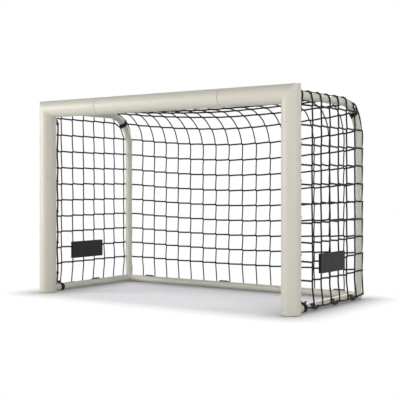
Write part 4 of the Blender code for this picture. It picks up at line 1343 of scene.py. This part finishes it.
@dataclass
class EdgeRope:
    """The thick three-strand rope behind the posts and the crossbar, with the net's rows hitched to it.

    Attributes:
        radius: The rope's radius.
        lay: Length of one full twist.
        arch: Radius of its way over the arm.
        bar_z: Height of its middle behind the crossbar.
        bar_reach: |X| up to which it runs level there.
        swing: How far it swings to each side of its line behind a post.
        swing_pitch: Height from one swing to the next one the other way.
        wrap: Turns and radius of the cord that hitches a row or column to it.
        tie: The same for the ties, which are longer and of thicker cord.
    """

    radius: float = 0.0036
    strands: int = 3
    strand_depth: float = 0.13
    lay: float = 0.021
    arch: float = 0.0210
    bar_z: float = 0.852
    bar_reach: float = 0.56
    swing: float = 0.0020
    swing_pitch: float = 0.0745
    tie_pitch: float = 0.1424
    first_tie: float = 0.083
    wrap: tuple = (1.5, 0.0019)
    tie: tuple = (2.5, 0.0021)

    def half(self, net: Net, side: Side) -> np.ndarray:
        """The rope up behind a post, swinging from side to side, and over the arm."""
        k = np.arange(11)
        aside = side.pick(net.rope_xs) - POST_X + self.swing * np.cos(np.pi * k)
        rise = together(aside, net.rope_depth, 0.042 + self.swing_pitch * k)
        over = arc((0, BAR_Z), self.arch, -12, 90, 6)
        over = together(over[:, 0], net.rope_over, over[:, 1])
        half = np.vstack([rise, over, [-0.030, net.rope_over, self.bar_z + 0.004]])
        return (half + [POST_X, 0, 0]) * [side.value, 1, 1]

    def route(self, net: Net) -> np.ndarray:
        """The whole rope: up the left post, along the crossbar and down the right post."""
        x = np.linspace(-self.bar_reach, self.bar_reach, 31)
        middle = together(x, net.rope_over, self.bar_z + 0.0012 * np.sin(2 * np.pi * x / MESH_PITCH))
        return places(np.vstack([self.half(net, Side.LEFT), middle, self.half(net, Side.RIGHT)[::-1]]))

    def hitch(self, centre: np.ndarray, along: np.ndarray, turns: float, cord: float, reach: float) -> Shape:
        """Turns of cord round the rope: centre + (radius + reach) * (cos, sin) of the turn, climbing along it.

        Args:
            centre: The place on the rope's axis.
            along: The rope's direction.
            turns: How often the cord goes round.
            cord: Its radius.
            reach: How far its middle line lies outside the rope's radius.

        Returns:
            The hitch.
        """
        angle = np.linspace(0, 2 * np.pi * turns, int(12 * turns) + 1)[:, None]
        first = unit(np.cross(along, [0.3, 0.9, 0.2]))
        second = np.cross(along, first)
        climb = (angle / (2 * np.pi * turns) - 0.5) * turns * 2.05 * cord
        coil = (self.radius + reach) * (np.cos(angle) * first + np.sin(angle) * second)
        return carried(centre + coil + climb * along, cord, along, 6)

    def build(self, net: Net) -> None:
        """Makes the rope, its hitches and its ties."""
        path = smooth_through(self.route(net), 0.0030)
        up = unit(np.array([0.3, 1.0, 0.1]))
        rope = carried(path, self.radius, up, 18, self.strands, self.strand_depth, self.lay)
        ties = self.first_tie + self.tie_pitch * np.arange(6)
        wraps = [(z, *self.wrap) for z in net.row_heights()] + [(z, *self.tie) for z in ties]
        quarter = len(path) // 4
        hitches = []
        for half in (path[:quarter], path[-quarter:]):
            for z, turns, cord in wraps:
                centre = half[np.argmin(np.abs(half[:, 2] - z) + (np.abs(half[:, 0]) < 0.63))]
                hitches.append(self.hitch(centre, Z, turns, cord, 0.6 * cord))
        for x in net.columns_x + MESH_PITCH * np.arange(1, net.back_columns - 1):
            centre = path[np.argmin(np.linalg.norm(path - places(net.rope_place(x)), axis=1))]
            hitches.append(self.hitch(centre, X, *self.wrap, 0.0011))
        piece("edge_rope_strands", rope, EDGE_CORD, ["edge_rope"])
        piece("edge_rope_hitches", Shape.joined(hitches), NET_CORD)


@dataclass(frozen=True)
class Jaw:
    """One stretch of a clip's saddle: its ends in degrees, where it lies and how long it is."""

    top: float
    low: float
    middle: float
    length: float
    inset: float = 0.0


@dataclass
class Clip:
    """A net clip: a saddle over the ground bar with two open hooks that hold the ground cord.

    The clip's own axes are along the bar, out of the goal and up, with the origin on the bar's axis. The clips
    on the right have slipped down round their bar and sit askew.

    Attributes:
        jaws: The stretches of the saddle.
        turn: How far the clip is turned round the bar, in degrees.
        lip: Height of the rib along its upper end.
        edge: How far its ends are drawn in, as moulded edges are, and over what length.
    """

    jaws: tuple = (Jaw(90.0, -26.0, 0.0, 0.058),)
    turn: float = 0.0
    lip: float = 0.0030
    hook_length: float = 0.020
    hook_place: float = 0.018
    hook_radii: tuple = (0.0036, 0.0060)
    inner: float = 0.0163
    outer: float = 0.0187
    cord_out: float = 0.0225
    cord_up: float = 0.0081
    edge: tuple = (0.0003, 0.0004)
    sharp: float = 35.0

    def outlines(self) -> list:
        """The saddle's stretches, their ribs and the two hooks: each one's two arcs, middle and length."""
        made = []
        for jaw in self.jaws:
            inner, outer = self.inner + jaw.inset, self.outer - jaw.inset
            saddle = [arc((0, 0), inner, jaw.top, jaw.low, 25), arc((0, 0), outer, jaw.low, jaw.top, 25)]
            made.append((saddle, jaw.middle, jaw.length))
            if self.lip:
                start, end = jaw.top - 0.5, jaw.top - 6
                lip = [
                    arc((0, 0), inner + 0.0005, start, end, 3),
                    arc((0, 0), outer + self.lip, end, start, 3),
                ]
                made.append((lip, jaw.middle, jaw.length - 0.012))
        ring = (self.cord_out, self.cord_up)
        hook = [arc(ring, self.hook_radii[0], 390, 150, 21), arc(ring, self.hook_radii[1], 150, 390, 21)]
        return made + [(hook, way * self.hook_place, self.hook_length) for way in (-1, 1)]

    def build(self, name: str, origin: np.ndarray, along: np.ndarray, out: np.ndarray) -> None:
        """Makes one clip as a single body.

        Args:
            name: The clip's node.
            origin: The point on the bar's axis.
            along: The bar's direction.
            out: The way out of the goal.
        """
        turn, (inset, edge) = math.radians(self.turn), self.edge
        across, upward = math.cos(turn) * out + math.sin(turn) * Z, math.cos(turn) * Z - math.sin(turn) * out
        shrink = np.array([inset, 0, 0, inset])[:, None, None]
        shapes = []
        for arcs, middle, length in self.outlines():
            outline = np.vstack(arcs)
            offsets = np.array([-0.5, -0.5, 0.5, 0.5]) * length + [0, edge, -edge, 0]
            flat = outline - shrink * unit(outline - outline.mean(axis=0))
            points = origin + (middle + offsets)[:, None, None] * along
            points = points + flat[..., :1] * across + flat[..., 1:] * upward
            if np.dot(np.cross(across, upward), along) < 0:
                points = points[::-1]
            shapes.append(woven(points, ring_uv(offsets, len(outline)), caps=True))
        obj = piece(f"{name}_moulding", shapes[0], PLASTIC, [name])
        carve(obj, shapes[1:], "UNION", self.sharp)


SLIPPED = Clip((Jaw(68.0, -8.0, -0.0135, 0.031), Jaw(20.0, -32.0, 0.0135, 0.031, 0.0002)), -15.0, 0.0)
LOW = Clip((Jaw(58.0, -26.0, 0.0, 0.058),), 0.0, 0.0)


@dataclass
class Straps:
    """The webbing straps: one holds the net to each arm's bend, one ties the net to each side bar.

    Attributes:
        thick: Thickness of the webbing.
        arm_angle: Where on the arm's bend its strap sits, in degrees up from level.
        cord_turns: Where on the left and the right strap the net's edge cord lies under it, in degrees.
        cord_lump: How far the strap stands off there.
        bar_depths: Depth of the left and the right bar's strap.
        bar_widths: Their widths.
    """

    thick: float = 0.0012
    arm_angle: float = 47.5
    arm_width: float = 0.022
    arm_inner: float = 0.0166
    cord_turns: tuple = (22.0, 42.0)
    cord_lump: float = 0.0052
    bar_inner: float = 0.0163
    bar_depths: tuple = (0.083, 0.088)
    bar_widths: tuple = (0.021, 0.026)

    def band(self, centre: np.ndarray, along: np.ndarray, first: np.ndarray, width: float, inner: float,
             swell: Callable[[np.ndarray], np.ndarray]) -> Shape:
        """A closed strap round a bar, with soft edges.

        Its section's outline is a flat loop with rounded ends; the ring's radius is inner + swell(angle).

        Args:
            centre: On the bar's axis.
            along: The bar's direction.
            first: A direction square to it, at angle 0.
            width: The strap's width.
            inner: Its inner radius.
            swell: Extra radius at each angle.

        Returns:
            The closed ring.
        """
        angle = np.linspace(0, 2 * np.pi, 65)
        t = self.thick / 2
        flat = width / 2 - t
        ends = arc((flat, t), t, -90, 90, 5)
        loop = np.vstack([
            ends, np.linspace([flat, 2 * t], [-flat, 2 * t], 7)[1:-1], ends[::-1] * [-1, 1],
            np.linspace([-flat, 0], [flat, 0], 7)[1:-1],
        ])
        radius = inner + swell(angle[:-1])[:, None] + loop[None, :, 1]
        out = fan(first, np.cross(along, first), len(angle) - 1)
        points = centre + radius[..., None] * out[:, None] + loop[None, :, :1] * along
        return woven(points, together((angle * inner)[:, None], round_length(loop)), wrap_rows=True)

    def tail(self, start: np.ndarray, away: np.ndarray, along: np.ndarray, width: float, length: float,
             curl: float) -> Shape:
        """A strap end that stands away from the bar and curls.

        Its middle line is start + s * away + curl * s**2 / length * side, with s from 0 to its length.
        """
        s = np.linspace(0, length, 13)
        side = np.cross(along, away)
        outline = strip_outline(together(s, curl * s**2 / length), self.thick)
        return pushed(outline, start - np.cross(away, side) * width / 2, away, side, width, 5)

    def arm_strap(self, side: Side) -> None:
        """The strap on an arm's bend: a doubled band, drawn together inside the bend, with two ends."""
        turn = math.radians(self.arm_angle)
        out = math.cos(turn) * Y + math.sin(turn) * Z
        along = math.sin(turn) * Y - math.cos(turn) * Z
        centre = side.post(BEND_DEPTH, BEND_Z) + BEND_R * out
        cord_at = math.radians(side.pick(self.cord_turns))
        shapes = [
            self.band(centre, along, out, self.arm_width * share, self.arm_inner + lift,
                      lambda a: self.cord_lump * np.clip(np.cos(a - cord_at), 0, 1) ** 5)
            for share, lift in ((1.0, 0.0), (0.72, 0.0011))
        ]
        for curl, shift in ((0.0045, 0.0006), (-0.0055, -0.0006)):
            root = centre - out * 0.0160 + X * shift
            shapes.append(self.tail(root, -out, along, self.arm_width * 0.8, 0.0150, curl))
        knot_line = centre - out * 0.0205 + np.linspace(-0.0125, 0.0125, 9)[:, None] * along
        lump = 0.0042 * np.sqrt(np.clip(1 - np.linspace(-0.97, 0.97, 9) ** 2, 0.05, 1))
        shapes.append(carried(knot_line, lump, X, 12))
        piece(f"arm_strap_{side.word}_webbing", Shape.joined(shapes), WEBBING, [f"arm_strap_{side.word}"])

    def bar_strap(self, side: Side) -> None:
        """The strap round a side bar behind the post, doubled over its own end except on the floor."""
        depth, width = side.pick(self.bar_depths), side.pick(self.bar_widths)
        centre = side.post(depth, GROUND_Z)
        shapes = [
            self.band(centre, Y, side.out, width, self.bar_inner, np.zeros_like),
            self.band(centre, Y, side.out, width * 0.55, self.bar_inner + self.thick,
                      lambda a: -0.0013 * np.clip((np.sin(a) * side.value - 0.2) / 0.6, 0, 1)),
        ]
        bar_top = place(side.value * (POST_X + 0.010), depth, GROUND_Z + 0.0140)
        up = unit(np.array([side.value * 0.30, 0.0, 1.0]))
        shapes.append(self.tail(bar_top, up, Y, 0.016, 0.014, 0.0010))
        piece(f"bar_strap_{side.word}_webbing", Shape.joined(shapes), WEBBING, [f"bar_strap_{side.word}"])

    def build(self) -> None:
        """Makes the four straps."""
        for side in Side:
            self.arm_strap(side)
            self.bar_strap(side)


@dataclass
class Patch:
    """A plain patch on a side net: two cloths with the net between them, hemmed, with two rows of stitches.

    Attributes:
        depths: Depths of the cloths' middles, left and right, each for the inner and the outer cloth.
        faces_x: |X| of the inner and the outer cloth's face on the net.
        insets: How far inside the edge the two rows of stitches run.
    """

    length: float = 0.212
    height: float = 0.078
    thick: float = 0.0011
    hem: float = 0.0065
    depths: tuple = ((0.2835, 0.2835), (0.3045, 0.2995))
    z: float = 0.182
    faces_x: tuple = (0.6509, 0.6609)
    stitch: float = 0.0030
    stitch_r: float = 0.00038
    stitch_pitch: float = 0.0044
    insets: tuple = (0.0016, 0.0050)

    def centre(self, side: Side, way: int) -> tuple:
        """|X| of a cloth's face on the net, and its depth; way is 1 for the outer cloth, -1 for the inner."""
        return self.faces_x[way > 0], side.pick(self.depths)[way > 0]

    def surface(self, side: Side, way: int) -> Shape:
        """A cloth: a closed sheet that waves by 0.25 mm, 0.35 mm thicker at the hem on its side off the net."""
        base, depth = self.centre(side, way)
        gu, gv = np.meshgrid(self.spread(self.length, 57), self.spread(self.height, 25), indexing="ij")
        edge = np.minimum(self.length / 2 - np.abs(gu), self.height / 2 - np.abs(gv))
        raised = 0.00035 * np.clip((self.hem - edge) / 0.0007, 0, 1)
        rounding = np.clip((0.0006 - edge) / 0.0006, 0, 1) ** 2 * self.thick / 2
        wave = 0.00025 * np.sin(gu * 2 * np.pi / MESH_PITCH + 0.6) * np.cos(gv * np.pi / self.height)
        outer, inner = (
            together(side.value * (base + way * height), depth + gu + FRONT_Y, self.z + gv)
            for height in (self.thick + raised - rounding + wave, rounding + wave)
        )
        uv = together(gu, gv)
        order = -side.value * way
        top = woven(outer[::order], uv[::order], wrap_columns=False)
        low = woven(inner[::-order], uv[::-order], wrap_columns=False)
        r, c = gu.shape[0] - 1, gu.shape[1] - 1
        i = np.concatenate([np.arange(r), np.full(c, r), np.arange(r, 0, -1), np.zeros(c, int)])
        j = np.concatenate([np.zeros(r, int), np.arange(c), np.full(r, c), np.arange(c, 0, -1)])
        rim = np.stack([inner[i, j], outer[i, j]])[::-order]
        return Shape.joined([top, low, woven(rim, np.zeros((2, len(i) + 1, 2)))])

    @staticmethod
    def spread(size: float, count: int) -> np.ndarray:
        """Places across the patch, with more of them close to its edges."""
        t = np.linspace(-1, 1, count - 6)
        near = np.array([0.0002, 0.0005, 0.0062])
        return np.unique(np.concatenate([t * size / 2, size / 2 - near, near - size / 2]))

    def stitches(self, side: Side, way: int) -> Shape:
        """Two rows of stitches round the hem: each is a short bead, half sunk in the cloth."""
        base, depth = self.centre(side, way)
        spots, turns = [], []
        for inset in self.insets:
            for axis, span, cross in ((0, self.length, self.height), (1, self.height, self.length)):
                count = int((span - 2 * inset) / self.stitch_pitch)
                line = (np.arange(count) - (count - 1) / 2) * self.stitch_pitch
                for sign in (-1, 1):
                    flat = np.zeros((count, 2))
                    flat[:, axis], flat[:, 1 - axis] = line, sign * (cross / 2 - inset)
                    spots.append(flat)
                    turns.append(np.full(count, axis))
        spots, turns = np.concatenate(spots), np.concatenate(turns)
        t = np.linspace(-1, 1, 5)
        swell = np.sqrt(np.clip(1.02 - t**2, 0.05, 1))
        bead = carried(together(t * self.stitch / 2, 0.0, 0.0), self.stitch_r * swell, Z, 6)
        flip = side.value * way
        axes = np.array([[Y, flip * Z, X * flip], [Z, -flip * Y, X * flip]])[turns]
        face = side.value * (base + way * (self.thick + 0.00040))
        return bead.stamped(places(together(face, depth + spots[:, 0], self.z + spots[:, 1])), axes)

    def build(self, side: Side) -> None:
        for way, word, nodes in ((1, "outer", [f"patch_{side.word}"]), (-1, "inner", [])):
            name = f"patch_{side.word}_{word}"
            cloth = piece(f"{name}_cloth", self.surface(side, way), PATCH_CLOTH, nodes)
            close(cloth.data)
            thread = piece(f"{name}_stitches", self.stitches(side, way), THREAD)


@dataclass
class Studio:
    """The camera, the lamps, the floor and the background.

    Attributes:
        eye: The camera's place.
        yaw: How far it is turned round Z.
        focal_px: Its focal length in pixels.
        horizon_px: The horizon's row in the picture.
        surround: The surround's strength in light that isn't seen directly.
        floor_glow: The floor's own light where the camera sees it.
        footprint: Half the goal's length and width on the floor.
        fade: Distances from the footprint between which the floor fades into the surround.
        contact: How much darker the painted shadow makes the floor under a ground bar, and the distance over
            which that wears off.
        lamps: Each one's name, place, height of the point that it looks at, size and watts.
    """

    eye: tuple = (2.3381, -3.28085, 0.4982)
    yaw: float = 0.6161
    focal_px: float = 907.634
    horizon_px: float = 183.4447
    image_px: float = 400.0
    surround: float = 0.115
    floor_reach: float = 40.0
    floor_z: float = -0.0002
    floor_colour: tuple = (0.86, 0.85, 0.89)
    floor_glow: float = 0.23
    footprint: tuple = (0.66, 0.33)
    fade: tuple = (0.0, 0.155)
    contact: tuple = (0.50, 0.10)
    lamps: tuple = (
        ("front_left", (-3.6, -3.0, 1.15), 0.45, 1.8, 136.0),
        ("front", (0.4, -4.2, 1.3), 0.45, 1.8, 28.0),
        ("front_right", (3.6, -2.6, 0.9), 0.45, 1.6, 58.0),
        ("right", (4.2, -0.3, 1.6), 0.45, 1.6, 22.0),
        ("behind", (-0.8, 3.2, 1.5), 0.3, 1.2, 40.0),
        ("behind_right", (1.5, 1.5, 3.0), 0.3, 0.7, 23.0),
    )

    def camera(self) -> None:
        """A level camera whose horizon is moved by a small shift."""
        data = bpy.data.cameras.new("view")
        data.sensor_width = 36.0
        data.lens = self.focal_px / self.image_px * data.sensor_width
        data.shift_y = (self.horizon_px - self.image_px / 2) / self.image_px
        data.clip_end = 100.0
        obj = bpy.data.objects.new("view", data)
        obj.location = self.eye
        obj.rotation_euler = (math.pi / 2, 0, self.yaw)
        bpy.context.scene.collection.objects.link(obj)
        bpy.context.scene.camera = obj

    @staticmethod
    def lamp(name: str, where: tuple, target_z: float, size: float, watts: float) -> None:
        """A square soft lamp that looks at a point on the goal's middle line."""
        data = bpy.data.lights.new(name, "AREA")
        data.size = size
        data.energy = watts
        obj = bpy.data.objects.new(name, data)
        back = unit(np.array(where) - target_z * Z)
        right = unit(np.cross(Z, back))
        matrix = np.eye(4)
        matrix[:3, :3] = np.stack([right, np.cross(back, right), back], axis=1)
        matrix[:3, 3] = where
        obj.matrix_world = matrix.T.tolist()
        bpy.context.scene.collection.objects.link(obj)

    @staticmethod
    def seen_directly(bench: Bench) -> bpy.types.NodeSocket:
        """1 for rays from the camera, also by way of gloss or glass, and 0 for the rest."""
        path = bench.add("LightPath", 0, {}).node.outputs
        glossy_too = bench.math("MAXIMUM", path["Is Camera Ray"], path["Is Glossy Ray"])
        return bench.math("MAXIMUM", glossy_too, path["Is Transmission Ray"])

    def world(self) -> None:
        """A pale surround that looks white to the camera and in reflections."""
        world = bpy.data.worlds.new("surround")
        bpy.context.scene.world = world
        bench = Bench(world)
        shade = bench.tree.nodes["Background"].inputs
        bench.feed(shade["Color"], WHITE)
        bench.feed(shade["Strength"], bench.ramp(self.seen_directly(bench), 0.0, 1.0, self.surround, 1.0))

    def floor(self) -> None:
        """A wide pale floor that keeps the goal's shadow and fades into the white surround.

        Seen by the camera it is a pale diffuse surface, mixed with plain white by the distance from the goal's
        footprint, which is the length of max(|place| - half the footprint, 0). Close to the ground bars a shadow
        is painted into its colour and its glow, darker as where soft light can't reach: 1 - depth *
        exp(-distance to the nearest bar / reach).
        """
        points = together(*(FLAT_BOX * self.floor_reach).T, self.floor_z)
        mesh = Shape(points, np.arange(4), np.array([4]), np.zeros((4, 2))).mesh("floor")
        obj = bpy.data.objects.new("floor", mesh)
        bpy.context.scene.collection.objects.link(obj)
        bench = Bench(bpy.data.materials.new("floor"))
        where = bench.where()
        out = bench.add("VectorMath", "Vector", {0: where}, operation="ABSOLUTE")
        out = bench.add("VectorMath", "Vector", {0: out, 1: (*self.footprint, 1.0)}, operation="SUBTRACT")
        out = bench.add("VectorMath", "Vector", {0: out, 1: (0.0, 0.0, 0.0)}, operation="MAXIMUM")
        distance = bench.add("VectorMath", "Value", {0: out}, operation="LENGTH")
        seen, shade = self.seen_directly(bench), self.contact_shade(bench, where)
        # painted shadow: the shade darkens both the floor's colour and its glow near the ground bars
        mesh.materials.append(bench.finish(
            Base_Color=bench.blend(shade, (0.0, 0.0, 0.0), self.floor_colour),
            Roughness=0.9,
            Specular_IOR_Level=0.0,
            Emission_Color=WHITE,
            Emission_Strength=bench.math("MULTIPLY", bench.math("MULTIPLY", shade, seen), self.floor_glow),
        ))
        glow = bench.add("Emission", 0, {"Color": WHITE, "Strength": 1.0})
        share = bench.math("MULTIPLY", bench.ramp(distance, *self.fade), seen)
        surface = bench.tree.nodes["Principled BSDF"].outputs[0]
        mixed = bench.add("MixShader", 0, {0: share, 1: surface, 2: glow})
        bench.feed(bench.tree.nodes["Material Output"].inputs["Surface"], mixed)

    def contact_shade(self, bench: Bench, where: bpy.types.NodeSocket) -> bpy.types.NodeSocket:
        """The floor's painted shadow, by its distance to the two side bars and the rear bar."""
        rear = FRONT_Y + REAR_DEPTH
        x, y, _ = bench.split(where)
        aside = bench.math("SUBTRACT", bench.math("ABSOLUTE", x), POST_X)
        past = bench.math("SUBTRACT", y, bench.math("MINIMUM", bench.math("MAXIMUM", y, FRONT_Y), rear))
        over = bench.math("MAXIMUM", aside, 0.0)
        behind = bench.math("SUBTRACT", y, rear)
        squares = [
            bench.math("MULTIPLY_ADD", one, one, bench.math("MULTIPLY", two, two))
            for one, two in ((aside, past), (over, behind))
        ]
        distance = bench.math("SQRT", bench.math("MINIMUM", *squares))
        fall = bench.math("EXPONENT", bench.math("DIVIDE", distance, -self.contact[1]))
        return bench.math("MULTIPLY_ADD", fall, -self.contact[0], 1.0)

    def build(self) -> None:
        """Sets the stage."""
        self.camera()
        self.world()
        self.floor()
        for lamp in self.lamps:
            self.lamp(*lamp)
        bpy.context.scene.view_settings.view_transform = "Standard"


def main() -> None:
    """Builds the goal's sub-assemblies in order and sets the stage."""
    logging.basicConfig(level=logging.INFO, format="%(message)s")
    buttons = all_buttons()
    front = FrontFrame(buttons)
    front.build()
    RearFrame(buttons).build(front)
    for button in buttons.values():
        button.build()
    net = Net()
    net.build()
    EdgeRope().build(net)
    for side in Side:
        for k, depth in enumerate(net.clip_depths):
            clip = SLIPPED if side is Side.RIGHT else Clip() if k == 1 else LOW
            clip.build(f"side_clip_{side.word}_{k + 1}", side.post(depth, GROUND_Z), Y, side.out)
        Patch().build(side)
    for k, x in enumerate(net.clip_xs):
        Clip().build(f"rear_clip_{k + 1}", place(x, REAR_DEPTH, GROUND_Z), X, Y)
    Straps().build()
    Studio().build()


if __name__ == "__main__":
    main()
